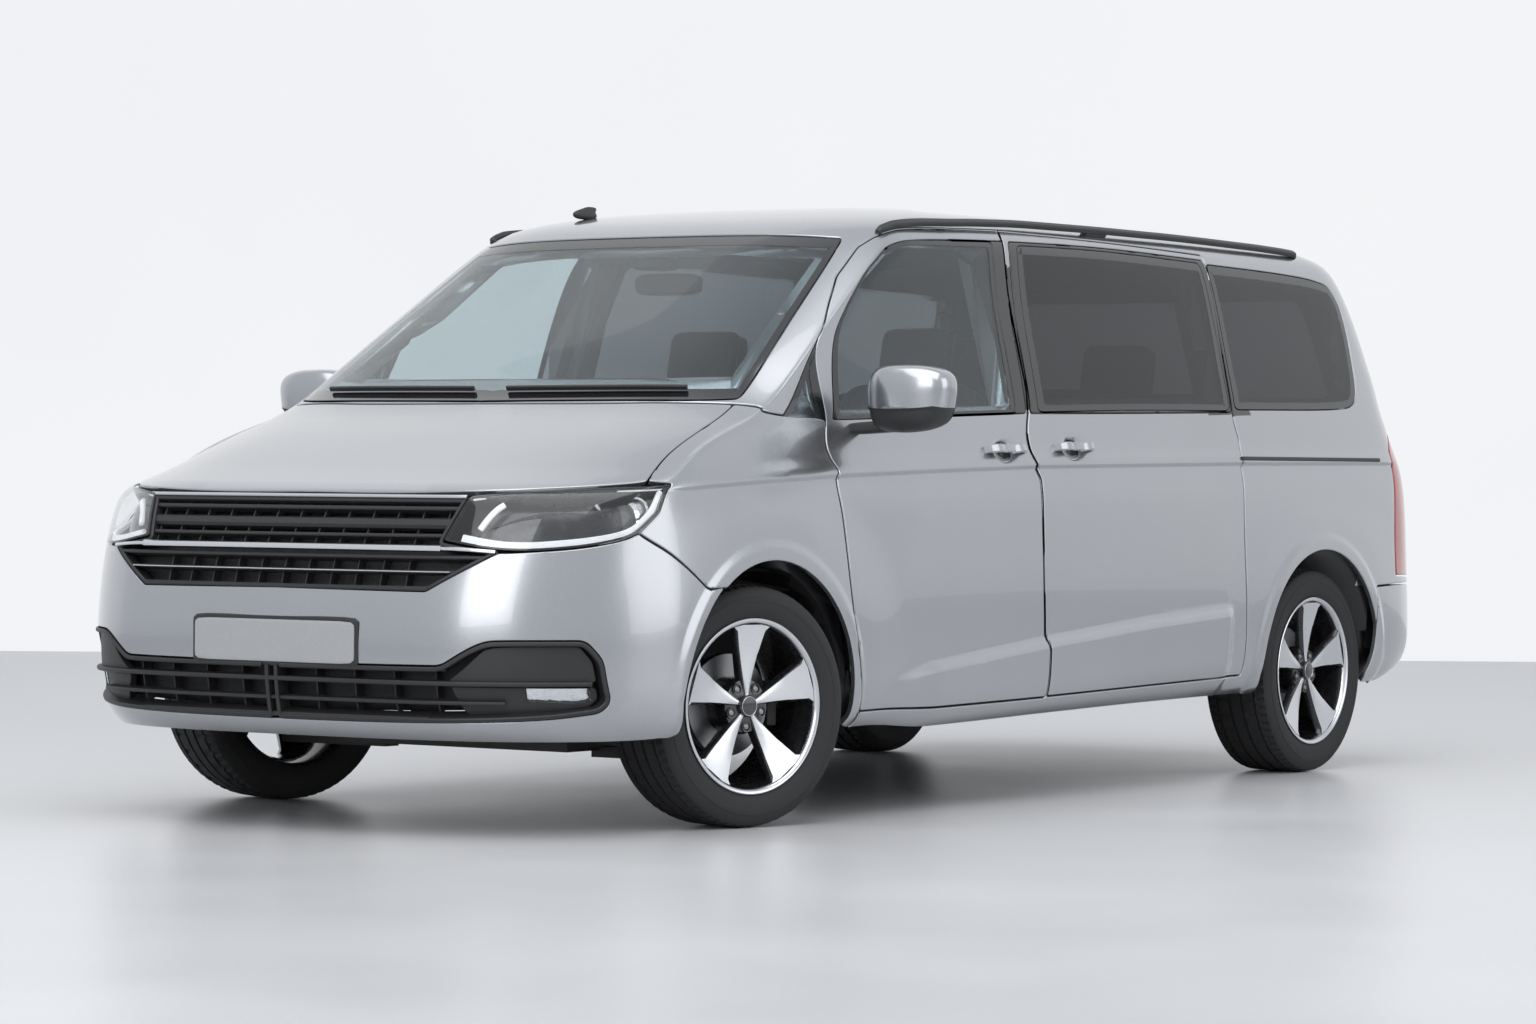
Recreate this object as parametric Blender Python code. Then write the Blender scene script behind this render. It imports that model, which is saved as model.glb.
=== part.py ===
"""A mid-size van: a hollow body with hinged front doors, bonnet and tailgate, steered front wheels,
and its seats, engine, axles and lamps. Metres, +Z up. The front faces -Y, the driver's side is +X,
and the origin is on the ground under the middle of the body."""

import math

import bmesh
import bpy
import numpy as np
from mathutils import Matrix, Vector
from mathutils.bvhtree import BVHTree

# Driving dimensions: the body's overall size and where its wheels stand
BODY_LENGTH = 4.95
BODY_WIDTH = 1.93
ROOF_HEIGHT = 1.785
WHEELBASE = 3.12
REAR_OVERHANG = 0.872
STEER_AT_REST = 14.4

HALF_LENGTH = BODY_LENGTH / 2
HALF_WIDTH = BODY_WIDTH / 2
REAR_AXLE = HALF_LENGTH - REAR_OVERHANG
FRONT_AXLE = REAR_AXLE - WHEELBASE

# Walls, gaps and cuts
WALL = 0.070
SKIN = 0.030
BUMPER_WALL = 0.045
GLASS = 0.006
GLASS_DEPTH = 0.001
SHUT_GAP = 0.009
FLANGE = 0.015
FLANGE_STEP = 0.020
LEAF = (0.040, 0.060)
SEAM = 0.0003
OVERRUN = 0.20
FLOOR_TOP = 0.440
FLOOR_THICKNESS = 0.040
SILL_WIDTH = 0.225
SIDE_DEPTH = 0.345
WING_DEPTH = 0.205
TAILGATE_REACH = 0.375
SILL_INNER = HALF_WIDTH - SILL_WIDTH
SIDE_START = HALF_WIDTH - SIDE_DEPTH
WING_INNER = HALF_WIDTH - WING_DEPTH
TAILGATE_START = HALF_LENGTH - TAILGATE_REACH
PILLAR_WIDTH = 0.100
PILLAR_POST = 0.055
PILLAR_LEAN = 0.280

# Wheels, from the tyre to the hub
TYRE_RADIUS = 0.330
WHEEL_STEPS = 24
TYRE_WIDTH = 0.235
RIM_RADIUS = 0.2415
RIM_INSET = 0.035
RIM_FACE = HALF_WIDTH - RIM_INSET
BEAD_RADIUS = 0.2240
BARREL_WALL = 0.012
HUB_RADIUS = 0.075
HUB_DEPTH = 0.100
HUB_RECESS = 0.030
STUB_RADIUS = 0.030
STUB_SIDES = 20
COLUMN_SIDES = 12
SPOKES = 5
DISC_RADIUS = 0.140
DISC_THICKNESS = 0.022
KINGPIN_INSET = 0.214
KINGPIN = HALF_WIDTH - KINGPIN_INSET
SCRUB = 0.185
ARCH_RADIUS = 0.385
WHEELHOUSE_RADIUS = 0.430
WHEELHOUSE_WALL = 0.020
WHEELHOUSE_REACH = 0.485
REAR_WHEELHOUSE_REACH = 0.305
WHEELHOUSE_LIP = 0.105
WHEELHOUSE_INNER = HALF_WIDTH - WHEELHOUSE_REACH
REAR_WHEELHOUSE_INNER = HALF_WIDTH - REAR_WHEELHOUSE_REACH
HOUSE_OUTER = HALF_WIDTH - WHEELHOUSE_LIP

# Engine, underbody and cabin
ENGINE_LENGTH = 0.44
ENGINE_HEIGHT = 0.46
ENGINE_BASE = 0.360
ENGINE_SHARE = -.7758
FIREWALL_SHARE = -.5818
FIREWALL = FIREWALL_SHARE * HALF_LENGTH
SUBFRAME = (0.80, 0.36, 0.070)
SUBFRAME_BASE = 0.190
KNUCKLE = (0.050, 0.050, 0.130, 0.120)
CALIPER = (0.075, 0.060, 0.030)
CALIPER_GAP = 0.005
ARM_WIDTH = 0.060
ARM_HEIGHT = 0.030
BEAM_RADIUS = 0.035
REAR_ARM_INSET = 0.365
REAR_ARM = HALF_WIDTH - REAR_ARM_INSET
TRAILING_ARM = (0.050, 0.060, 0.500)
FRAME_BASE = 0.400
FRAME_HEIGHT = 0.130
FRAME_OFFSET = 0.400
FRAME_WIDTH = 0.080
BEAM_SHARE = -.9414
BEAM_FRONT = BEAM_SHARE * HALF_LENGTH
DASH_MARGIN = 0.195
DASH_WIDTH = 2 * (HALF_WIDTH - DASH_MARGIN)
DASH_DEPTH = 0.42
DASH_HEIGHT = 0.505
DASH_BASE = 0.620
SEAT_WIDTH = 0.50
SEAT_HEIGHT = 0.72
SEAT_DEPTH = 0.50
SEAT_BACK = 0.62
SEAT_THICKNESS = 0.14
SEAT_LEAN = 12.0
HEAD_REST = 0.20
SEAT_OFFSET = 0.40
BENCH_WIDTH = 1.24
SEAT_FRONTS_SHARES = (-.2222, .1697, .5253)
STEERING_RADIUS = 0.190
STEERING_TUBE = 0.015
STEERING_TILT = 28.0
MIRROR = (0.215, 0.105, 0.155)
MIRROR_ROUND = 0.035
MIRROR_REACH = 0.110
MIRROR_DROP = 0.095
MIRROR_PLACE_SHARES = (-.4182, .6527)
HANDLE = (0.026, 0.230, 0.030)
HANDLE_STAND = 0.022
HANDLE_FOOT = 0.030
HANDLE_PLACE_SHARES = ((-.118, .578), (.037, .584))
RAIL_WIDTH = 0.034
RAIL_HEIGHT = 0.026
RAIL_INSET = 0.275
RAIL_OFFSET = HALF_WIDTH - RAIL_INSET
RAIL_START_SHARE = -.2667
RAIL_END_SHARE = .7434
RAIL_FOOT = 0.100
PLATE = (0.560, 0.116)
PLATE_HEIGHT = 0.508

# The body surface, level by level: heights of the front middle, front corner, side front, side rear
# and rear, as shares of the roof height; the front's place as a share of the half length, and its
# squareness; the half widths at the side's front, middle and rear; the side's ends and the rear
LEVEL_SHARES = (
    (.134, .134, .137, .154, .168, -.962, 1, .933, .938, .933, -.752, .796, .949),
    (.16, .16, .162, .176, .193, -.986, 1, .969, .974, .964, -.743, .808, .986),
    (.207, .207, .21, .221, .227, -.996, 1.1, .982, .99, .981, -.743, .816, 1),
    (.28, .28, .28, .28, .28, -1, 1.1, .99, .998, .99, -.743, .816, .996),
    (.359, .359, .359, .359, .359, -.994, 1.1, .988, 1, .992, -.743, .816, .988),
    (.431, .431, .437, .443, .443, -.976, 1.2, .977, .997, .988, -.739, .816, .986),
    (.482, .48, .489, .504, .504, -.956, 1.3, .966, .993, .982, -.731, .816, .983),
    (.511, .51, .524, .552, .555, -.937, 1.3, .95, .984, .972, -.719, .816, .974),
    (.533, .536, .555, .594, .599, -.889, 1.1, .931, .966, .951, -.695, .812, .962),
    (.566, .567, .583, .63, .639, -.82, 1, .916, .951, .936, -.659, .808, .949),
    (.608, .605, .608, .661, .672, -.731, .9, .906, .941, .922, -.606, .804, .941),
    (.649, .647, .639, .695, .711, -.642, .9, .893, .928, .908, -.541, .8, .935),
    (.723, .716, .709, .745, .765, -.556, 1, .868, .904, .883, -.461, .792, .927),
    (.801, .794, .787, .807, .824, -.465, 1.1, .835, .87, .852, -.376, .784, .917),
    (.877, .871, .866, .874, .885, -.376, 1.2, .801, .834, .817, -.291, .768, .902),
    (.93, .925, .92, .922, .927, -.313, 1.3, .767, .803, .784, -.226, .747, .883),
    (.959, .956, .951, .95, .951, -.259, 1.2, .717, .756, .736, -.174, .711, .84),
    (.982, .979, .976, .974, .972, -.154, 1, .596, .632, .611, -.081, .614, .743),
    (.995, .993, .99, .988, .986, -.004, 1, .342, .363, .342, .048, .485, .598),
    (1, 1, .999, .997, .995, .113, 1, 0, 0, 0, .141, .364, .436),
)
FACE_SHARES = ((0, 0), (.36, .025), (.68, .14), (.90, .45), (.98, .73))
SIDE_SHARES = (0, .16, .34, .52, .70, .86, 1)
FACE_TURN_SHARE = .45
ROWS = (0, 1, 2.5, 5, 7, 8, 9, 10, 11, 13, 15, 16, 17, 18, 19)
DEEP_ROWS = (0, 2, 4, 6.5, 8.5, 11, 13, 15, 17, 19)
COLUMNS = (0, 2, 3, 4, 5, 7, 9, 11, 12, 13, 14, 16)

# Outlines of the panels, seen from the side (length, height), as shares of half length and height
FRONT_DOOR_SHARES = (
    (-.43, .167), (-.448, .252), (-.463, .353), (-.469, .465), (-.468, .543), (-.461, .616),
    (-.427, .77), (-.354, .854), (-.297, .905), (-.251, .931), (-.178, .943), (-.008, .947),
    (-.04, .751), (-.046, .639), (-.048, .532), (-.05, .431), (-.049, .325), (-.044, .174),
)
SLIDING_DOOR_SHARES = (
    (-.041, .175), (-.047, .325), (-.048, .431), (-.045, .532), (-.044, .639), (-.038, .751),
    (-.006, .947), (.242, .943), (.465, .934), (.457, .868), (.452, .762), (.446, .653), (.453, .603),
    (.444, .532), (.441, .403), (.443, .291), (.44, .186),
)
WING_SHARES = (
    (-.433, .112), (-.45, .252), (-.465, .353), (-.471, .465), (-.47, .543), (-.465, .601),
    (-.566, .601), (-.606, .672), (-1.051, .672), (-1.051, .448), (-.828, .448), (-.777, .41),
    (-.734, .367), (-.707, .112),
)
BUMPER_SHARES = (
    (-1.051, .443), (-.828, .446), (-.778, .408), (-.735, .365), (-.723, .084), (-1.051, .084),
)
REAR_BUMPER_SHARES = (
    (.78, .112), (.794, .224), (.798, .336), (.909, .34), (1.091, .34), (1.091, .112),
)
DOOR_GLASS_SHARES = (
    (-.451, .623), (-.418, .748), (-.38, .798), (-.319, .863), (-.263, .906), (-.214, .922),
    (-.04, .927), (-.069, .751), (-.075, .641),
)
SLIDING_GLASS_SHARES = (
    (-.024, .644), (-.018, .751), (.012, .924), (.207, .927), (.448, .918), (.443, .762), (.44, .655),
    (.213, .652),
)
QUARTER_GLASS_SHARES = (
    (.456, .657), (.459, .762), (.465, .917), (.732, .909), (.796, .896), (.816, .863), (.81, .717),
    (.792, .675), (.76, .662),
)
CORNER_GLASS_SHARES = (
    (-.562, .612), (-.444, .745), (-.465, .617),
)
DASH_SHARES = ((0, 0), (0, .95), (.35, 1), (.80, .96), (1, .80), (.97, .55), (.72, .32), (.62, 0))

# Outlines seen from the front or the rear (half width, height)
WINDSCREEN_SHARES = (
    (.466, .657), (.793, .661), (.679, .912), (.342, .924),
)
TAILGATE_SHARES = (
    (.725, .291), (.798, .336), (.829, .482), (.829, .616), (.798, .7), (.684, .919),
    (.622, .934), (.311, .937),
)
REAR_GLASS_SHARES = (
    (.622, .644), (.715, .672), (.622, .882), (.56, .896),
)
TAIL_LAMP_SHARES = (
    (.835, .347), (.835, .616), (1.088, .625), (1.088, .347),
)
LAMP_FRONT_SHARE = .861
GRILLE_SHARES = (
    (.311, .505), (.568, .503), (.531, .435), (.696, .421), (.679, .416), (.51, .363),
)
INTAKE_SHARES = (
    (.565, .252), (.674, .287), (.886, .29), (.914, .263), (.916, .202), (.897, .187),
    (.79, .176), (.546, .171),
)

# The slots between the bars of the grille and of the intake (low, high), and their reach to each side
GRILLE_SLOT_SHARES = ((.376, .386), (.392, .402), (.408, .418), (.444, .453), (.460, .469), (.476, .485))
GRILLE_RIB_SHARES = ((.02, .24), (.26, .48))
INTAKE_SLOT_SHARES = ((.183, .192), (.200, .209), (.217, .226), (.234, .243))
INTAKE_RIB_SHARES = ((.10, .30), (.32, .54))

# The pillars' inner faces, leaning in with the height
PILLAR_SHARES = ((.02, 0), (.02, .55), (.22, .66), (.62, .90), (1, 1))

# Outline of the bonnet seen from above (half width, length) and of a headlamp on the front corner
BONNET_SHARES = (
    (.953, -1.051), (.904, -.798), (.882, -.773), (.852, -.725), (.835, -.666),
    (.819, -.606), (.725, -.62), (.435, -.638),
)
LAMP_SHARES = (
    (.571, -.938, .503), (.777, -.886, .511), (.941, -.778, .52), (.953, -.8, .481), (.942, -.83, .45),
    (.926, -.849, .439), (.854, -.899, .426), (.711, -.947, .421), (.535, -.965, .436),
)
LAMP_VIEW = (.6, -.8, 0)
LAMP_DEPTH = 0.080
LAMP_REAR_SHARE = -.7273
LAMP_REAR = LAMP_REAR_SHARE * HALF_LENGTH


# Objects, materials and placing
def collection(name):
    made = bpy.data.collections.new(name)
    bpy.context.scene.collection.children.link(made)
    return made


def material(name, colour, roughness, metallic=0.0):
    made = bpy.data.materials.new(name)
    made.use_nodes = True
    shader = made.node_tree.nodes["Principled BSDF"]
    shader.inputs["Base Color"].default_value = (*colour, 1)
    shader.inputs["Roughness"].default_value = roughness
    shader.inputs["Metallic"].default_value = metallic
    return made


def add_object(name, bm):
    """An object from the bmesh, with its faces turned outwards."""
    bmesh.ops.recalc_face_normals(bm, faces=bm.faces)
    mesh = bpy.data.meshes.new(name)
    bm.to_mesh(mesh)
    bm.free()
    obj = bpy.data.objects.new(name, mesh)
    HELPERS.objects.link(obj)
    obj.hide_render = True
    obj.display_type = "WIRE"
    return obj


def finish(obj, name, finish_material):
    """The object as a piece of the van: named, in its collection, with its material."""
    obj.name = name
    HELPERS.objects.unlink(obj)
    VAN.objects.link(obj)
    obj.hide_render = False
    obj.display_type = "TEXTURED"
    obj.data.materials.clear()
    obj.data.materials.append(finish_material)
    obj.data.shade_smooth()
    obj.data.set_sharp_from_angle(angle=math.radians(35))
    return obj


def hang(obj, point):
    """The object with its origin moved to a point on its hinge."""
    obj.data.transform(Matrix.Translation(-Vector(point)))
    obj.location = point
    return obj


def cut(obj, other, operation="DIFFERENCE"):
    """The object with the other taken away, added or kept in common, as a plain mesh."""
    modifier = obj.modifiers.new("cut", "BOOLEAN")
    modifier.operation = operation
    modifier.solver = "EXACT"
    modifier.object = other
    graph = bpy.context.evaluated_depsgraph_get()
    mesh = bpy.data.meshes.new_from_object(obj.evaluated_get(graph))
    obj.modifiers.clear()
    obj.data = mesh
    return obj


def common(obj, other):
    return cut(obj, other, "INTERSECT")


def join(obj, other):
    return cut(obj, other, "UNION")


def copy(obj):
    made = obj.copy()
    made.data = obj.data.copy()
    HELPERS.objects.link(made)
    made.hide_render = True
    return made


def mirrored(obj):
    """A copy of the object on the other side of the van."""
    bm = bmesh.new()
    bm.from_mesh(obj.data)
    bmesh.ops.transform(bm, matrix=obj.matrix_world, verts=bm.verts)
    bmesh.ops.scale(bm, vec=(-1, 1, 1), verts=bm.verts)
    bmesh.ops.reverse_faces(bm, faces=bm.faces)
    return add_object(obj.name + "_mirrored", bm)


def both(obj):
    """The object joined with its mirror image."""
    return join(obj, mirrored(obj))


def box(size, centre):
    bm = bmesh.new()
    bmesh.ops.create_cube(bm, size=1)
    bmesh.ops.scale(bm, vec=size, verts=bm.verts)
    bmesh.ops.translate(bm, vec=centre, verts=bm.verts)
    return add_object("box", bm)


def span(low, high):
    """The box between two corners."""
    size = [b - a for a, b in zip(low, high)]
    return box(size, [(a + b) / 2 for a, b in zip(low, high)])


def rounded(obj, width, segments=2):
    bm = bmesh.new()
    bm.from_mesh(obj.data)
    bmesh.ops.bevel(bm, geom=bm.edges[:], offset=width, segments=segments, profile=.5, affect="EDGES")
    bm.to_mesh(obj.data)
    bm.free()
    return obj


def cylinder(radius, start, end, sides=32):
    """A round bar between two points."""
    along = Vector(end) - Vector(start)
    bm = bmesh.new()
    bmesh.ops.create_cone(bm, cap_ends=True, segments=sides, radius1=radius, radius2=radius, depth=along.length)
    turn = along.to_track_quat("Z", "Y").to_matrix().to_4x4()
    turn.translation = (Vector(start) + Vector(end)) / 2
    bmesh.ops.transform(bm, matrix=turn, verts=bm.verts)
    return add_object("cylinder", bm)


def grown(outline, distance):
    """The outline moved outwards by the distance, its corners mitred."""
    points = [Vector(p) for p in outline]
    area = sum(a.x * b.y - b.x * a.y for a, b in zip(points, points[1:] + points[:1]))
    side = 1 if area > 0 else -1
    made = []
    for before, here, after in zip(points[-1:] + points[:-1], points, points[1:] + points[:1]):
        first = (here - before).normalized()
        second = (after - here).normalized()
        normal = Vector((first.y + second.y, -first.x - second.x)) * side
        made.append(here + normal * (2 * distance / normal.length_squared))
    return made


def prism(outline, view, low, high):
    """The outline swept along the view direction, from low to high along it."""
    view = Vector(view).normalized()
    across = Vector((-view.y, view.x, 0)) if view.z == 0 else Vector((1, 0, 0))
    up = Vector((0, 0, 1)) if view.z == 0 else Vector((0, 1, 0))
    bm = bmesh.new()
    base = [bm.verts.new(across * a + up * b + view * low) for a, b in outline]
    face = bm.faces.new(base)
    swept = bmesh.ops.extrude_face_region(bm, geom=[face])["geom"]
    moved = [v for v in swept if isinstance(v, bmesh.types.BMVert)]
    bmesh.ops.translate(bm, vec=view * (high - low), verts=moved)
    return add_object("prism", bm)


# The body surface: a smooth skin through the levels
def level_points(level):
    """The points of one level, from the front middle round the left side to the rear middle."""
    front, corner, side, side_rear, rear, nose, square, wide, middle, tail, start, end, back = level
    points = []
    for x, b in FACE_SHARES:
        b = b ** square
        first = min(b / FACE_TURN_SHARE, 1)
        second = max(b - FACE_TURN_SHARE, 0) / (1 - FACE_TURN_SHARE)
        z = front + (corner - front) * first + (side - corner) * second
        points.append((wide * x, nose + (start - nose) * b, z))
    for s in SIDE_SHARES:
        end_width = wide if s < .5 else tail
        width = middle + (end_width - middle) * (1 - 2 * s) ** 2
        points.append((width, start + (end - start) * s, side + (side_rear - side) * s))
    for x, b in reversed(FACE_SHARES):
        points.append((tail * x, back + (end - back) * b ** 2, rear + (side_rear - rear) * b ** 2))
    return points


def level_rings():
    scale = np.array((HALF_WIDTH, HALF_LENGTH, ROOF_HEIGHT))
    left = np.array([level_points(level) for level in LEVEL_SHARES]) * scale
    right = left[:, -2:0:-1] * (-1, 1, 1)
    return np.concatenate([left, right], axis=1)


def spline_weights(count, closed, params):
    """The weights of a uniform cubic spline's points at each parameter."""
    weights = np.zeros((len(params), count))
    for row, value in enumerate(params):
        knot = int(min(value, count - (1 if closed else 2)))
        f = value - knot
        parts = ((1 - f) ** 3, 3 * f ** 3 - 6 * f ** 2 + 4, -3 * f ** 3 + 3 * f ** 2 + 3 * f + 1, f ** 3)
        for step, part in enumerate(parts):
            index = knot - 1 + step
            if closed:
                weights[row, index % count] += part / 6
            elif 0 <= index < count:
                weights[row, index] += part / 6
            else:
                end = min(max(index, 0), count - 1)
                inner = 1 if index < 0 else count - 2
                weights[row, end] += 2 * part / 6
                weights[row, inner] -= part / 6
    return weights


def skin_points(rings, rows, columns):
    """Points of the skin at the given parameters, up the levels and round them."""
    up = spline_weights(rings.shape[0], False, rows)
    around = spline_weights(rings.shape[1], True, columns)
    return np.einsum("ij,jkd,lk->ild", up, rings, around)


def skin_rings(rounds=4):
    """The spline's points, so placed that the skin passes through the levels."""
    target = level_rings()
    rings = target.copy()
    for _ in range(rounds):
        made = skin_points(rings, range(target.shape[0]), range(target.shape[1]))
        rings = rings + target - made
    return rings


def hull(inset):
    """The closed body form, moved inwards by the inset."""
    rings = skin_rings()
    rows = np.array(ROWS if inset < BUMPER_WALL else DEEP_ROWS, dtype=float)
    columns = np.array(COLUMNS + tuple(rings.shape[1] - c for c in COLUMNS[-2:0:-1]), dtype=float)
    step = .01
    points = skin_points(rings, rows, columns)
    up = skin_points(rings, np.minimum(rows + step, rows[-1]), columns)
    up -= skin_points(rings, np.maximum(rows - step, 0), columns)
    around = skin_points(rings, rows, (columns + step) % rings.shape[1])
    around -= skin_points(rings, rows, (columns - step) % rings.shape[1])
    normal = np.cross(around, up)
    normal[-1] = (0, 0, 1)
    normal[:2, :, 2] = 0
    normal /= np.linalg.norm(normal, axis=2, keepdims=True)
    if inset >= BUMPER_WALL:
        for _ in range(2):
            middle = normal.copy()
            middle[1:-1] = (normal[:-2] + 2 * normal[1:-1] + normal[2:]) / 4
            normal = (np.roll(middle, 1, axis=1) + 2 * middle + np.roll(middle, -1, axis=1)) / 4
    normal /= np.linalg.norm(normal, axis=2, keepdims=True)
    points = points - normal * inset
    points[-1, :, 0] = 0
    points = np.round(points, 6)
    bm = bmesh.new()
    grid = [[bm.verts.new(point) for point in ring] for ring in points]
    for low, high in zip(grid, grid[1:]):
        for a, b, c, d in zip(low, low[1:] + low[:1], high[1:] + high[:1], high):
            bm.faces.new((a, b, c, d))
    bm.faces.new(grid[0])
    bmesh.ops.remove_doubles(bm, verts=bm.verts, dist=1e-5)
    bmesh.ops.triangulate(bm, faces=bm.faces)
    flat = [face for face in bm.faces if face.calc_area() < 1e-9]
    bmesh.ops.delete(bm, geom=flat, context="FACES_ONLY")
    bmesh.ops.delete(bm, geom=[edge for edge in bm.edges if edge.is_wire], context="EDGES")
    return add_object("hull", bm)


def side_outline(shares):
    """Length and height on a view from the left, whose across direction is +Y."""
    return [(y * HALF_LENGTH, z * ROOF_HEIGHT) for y, z in shares]


def front_outline(shares):
    """A whole outline, both sides, for a view along Y: across is -X there."""
    half = [(x * HALF_WIDTH, z * ROOF_HEIGHT) for x, z in shares]
    return half + [(-x, z) for x, z in reversed(half) if x > 0]


def plan_outline(shares):
    half = [(x * HALF_WIDTH, y * HALF_LENGTH) for x, y in shares]
    return half + [(-x, y) for x, y in reversed(half) if x > 0]


SIDE_VIEW = (1, 0, 0)
FRONT_VIEW = (0, 1, 0)
TOP_VIEW = (0, 0, 1)


def side_prism(outline, low=None, high=None):
    low = SIDE_START if low is None else low
    high = HALF_WIDTH + OVERRUN if high is None else high
    return prism(outline, SIDE_VIEW, low, high)


def outside(obj, inset):
    """The object without what lies deeper than the inset."""
    return cut(obj, HULLS[inset])


def panel(blank, outer, inner):
    """What the blank holds of the body's wall between two depths."""
    return cut(common(blank, HULLS[outer]), HULLS[inner])


def closure(blank):
    """A door or lid: an outer flange over a narrower box as thick as the wall. The blank takes a growth."""
    return join(panel(blank(0), 0, FLANGE), panel(blank(-FLANGE_STEP), GLASS_REBATE, WALL))


def leaf(low, high, blank, gap):
    """A hinge leaf on the body: it reaches the lid's box but for the seam, and bridges the shut gap."""
    return cut(span(low, high), blank(gap))


def glaze(walls, outline, view, low, high, margin):
    """Cuts a rebate and a hole for a pane in each wall, and gives the pane."""
    rebate = outside(prism(grown(outline, SEAM), view, low, high), GLASS_REBATE)
    hole = prism(grown(outline, -margin), view, low, high)
    for wall in walls:
        cut(wall, rebate)
        cut(wall, hole)
    return panel(prism(outline, view, low, high), GLASS_DEPTH, GLASS_DEPTH + GLASS)


# The body shell and what closes it
def wheel_tunnel(axle, radius, inner, outer):
    return cylinder(radius, (inner, axle, TYRE_RADIUS), (outer, axle, TYRE_RADIUS), 32)


def cabin_hollow():
    """The air inside the cabin and load space, around the pillars and rear wheelhouses."""
    hollow = copy(HULLS[WALL])
    hollow = common(hollow, span((-2 * HALF_WIDTH, FIREWALL + WALL / 2, FLOOR_TOP), (2 * HALF_WIDTH, 2 * HALF_LENGTH, 2 * ROOF_HEIGHT)))
    for start in pillar_places():
        band = span((OVERRUN, start, 0), (2 * HALF_WIDTH, start + PILLAR_WIDTH, ROOF_HEIGHT))
        cut(hollow, both(cut(band, pillar_core())))
    radius = WHEELHOUSE_RADIUS + WHEELHOUSE_WALL
    cut(hollow, both(wheel_tunnel(REAR_AXLE, radius, REAR_WHEELHOUSE_INNER - WHEELHOUSE_WALL, 2 * HALF_WIDTH)))
    cut(hollow, both(wheel_tunnel(FRONT_AXLE, radius, WHEELHOUSE_INNER - WHEELHOUSE_WALL, 2 * HALF_WIDTH)))
    return hollow


def pillar_core():
    """The cabin's air inboard of the pillars, their inner faces leaning with the body side."""
    lean = [(HALF_WIDTH - WALL - x * PILLAR_LEAN - PILLAR_POST, z * ROOF_HEIGHT) for x, z in PILLAR_SHARES]
    outline = lean + [(-x, z) for x, z in reversed(lean)]
    return prism(outline, FRONT_VIEW, -HALF_LENGTH, HALF_LENGTH)


def pillar_places():
    """Where the posts behind the doors' shut lines start."""
    middle = SLIDING_DOOR_SHARES[0][0] * HALF_LENGTH - PILLAR_WIDTH / 2
    rear = SLIDING_DOOR_SHARES[-1][0] * HALF_LENGTH
    return middle, rear


def body_shell():
    shell = copy(HULLS[0])
    cut(shell, cabin_hollow())
    under = FLOOR_TOP - FLOOR_THICKNESS
    cut(shell, span((-SILL_INNER, -2 * HALF_LENGTH, -OVERRUN), (SILL_INNER, 2 * HALF_LENGTH, under)))
    nose = [(-2 * HALF_LENGTH, -OVERRUN), (FIREWALL, -OVERRUN), (FIREWALL, COWL_BASE), (COWL_FRONT, COWL_BASE),
            (COWL_FRONT, ROOF_HEIGHT), (-2 * HALF_LENGTH, ROOF_HEIGHT)]
    cut(shell, side_prism(nose, -2 * HALF_WIDTH, 2 * HALF_WIDTH))
    wing = side_prism(grown(side_outline(WING_SHARES), SEAM), WING_INNER - SEAM)
    cut(shell, both(outside(wing, SKIN_SEAT)))
    cut(shell, outside(bonnet_blank(SHUT_GAP), SKIN_GAP))
    for shares, gap, depth in ((FRONT_DOOR_SHARES, SHUT_GAP, WALL_GAP), (SLIDING_DOOR_SHARES, SEAM, WALL_SEAT)):
        opening = side_prism(grown(side_outline(shares), gap))
        cut(shell, both(outside(opening, depth)))
    cut(shell, both(wheel_tunnel(REAR_AXLE, ARCH_RADIUS, REAR_WHEELHOUSE_INNER, 2 * HALF_WIDTH)))
    cut(shell, both(wheel_tunnel(FRONT_AXLE, ARCH_RADIUS, WHEELHOUSE_INNER, 2 * HALF_WIDTH)))
    cut(shell, both(wheel_tunnel(FRONT_AXLE, WHEELHOUSE_RADIUS, WHEELHOUSE_INNER, HOUSE_OUTER)))
    cut(shell, outside(tailgate_blank(SHUT_GAP), WALL_GAP))
    cut(shell, both(outside(tail_lamp_blank(SEAM), LAMP_SEAT)))
    bumper = prism(grown(side_outline(REAR_BUMPER_SHARES), SEAM), SIDE_VIEW, -2 * HALF_WIDTH, 2 * HALF_WIDTH)
    cut(shell, outside(bumper, BUMPER_SEAT))
    for height in DOOR_LEAVES:
        low = (DOOR_PIN[0] - WALL, DOOR_PIN[1] - LEAF[0] / 2, height)
        high = (DOOR_PIN[0] - LEAF[0], DOOR_PIN[1] + LEAF[1], height + LEAF[1])
        join(shell, both(common(leaf(low, high, door_blank, SEAM - FLANGE_STEP), HULLS[SKIN_GAP])))
    low = (TAILGATE_LEAF, TAILGATE_START - 2 * SHUT_GAP, TAILGATE_PIN[1] + SEAM)
    high = (TAILGATE_LEAF + LEAF[1], TAILGATE_PIN[0] - FLANGE, TAILGATE_PIN[1] + 2 * SHUT_GAP)
    join(shell, both(common(span(low, high), HULLS[GLASS_DEPTH])))
    low = (BONNET_LEAF, BONNET_PIN[0] - LEAF[1], COWL_BASE)
    rest = span(low, (BONNET_LEAF + LEAF[1], BONNET_PIN[0] - SHUT_GAP, ROOF_HEIGHT))
    join(shell, both(common(rest, HULLS[SKIN_SEAT])))
    return shell


def door_blank(growth):
    return side_prism(grown(side_outline(FRONT_DOOR_SHARES), growth))


def bonnet_blank(growth):
    return prism(grown(plan_outline(BONNET_SHARES), growth), TOP_VIEW, BONNET_BASE, ROOF_HEIGHT)


def tailgate_blank(growth):
    return prism(grown(front_outline(TAILGATE_SHARES), growth), FRONT_VIEW, TAILGATE_START - growth, 2 * HALF_LENGTH)


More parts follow.
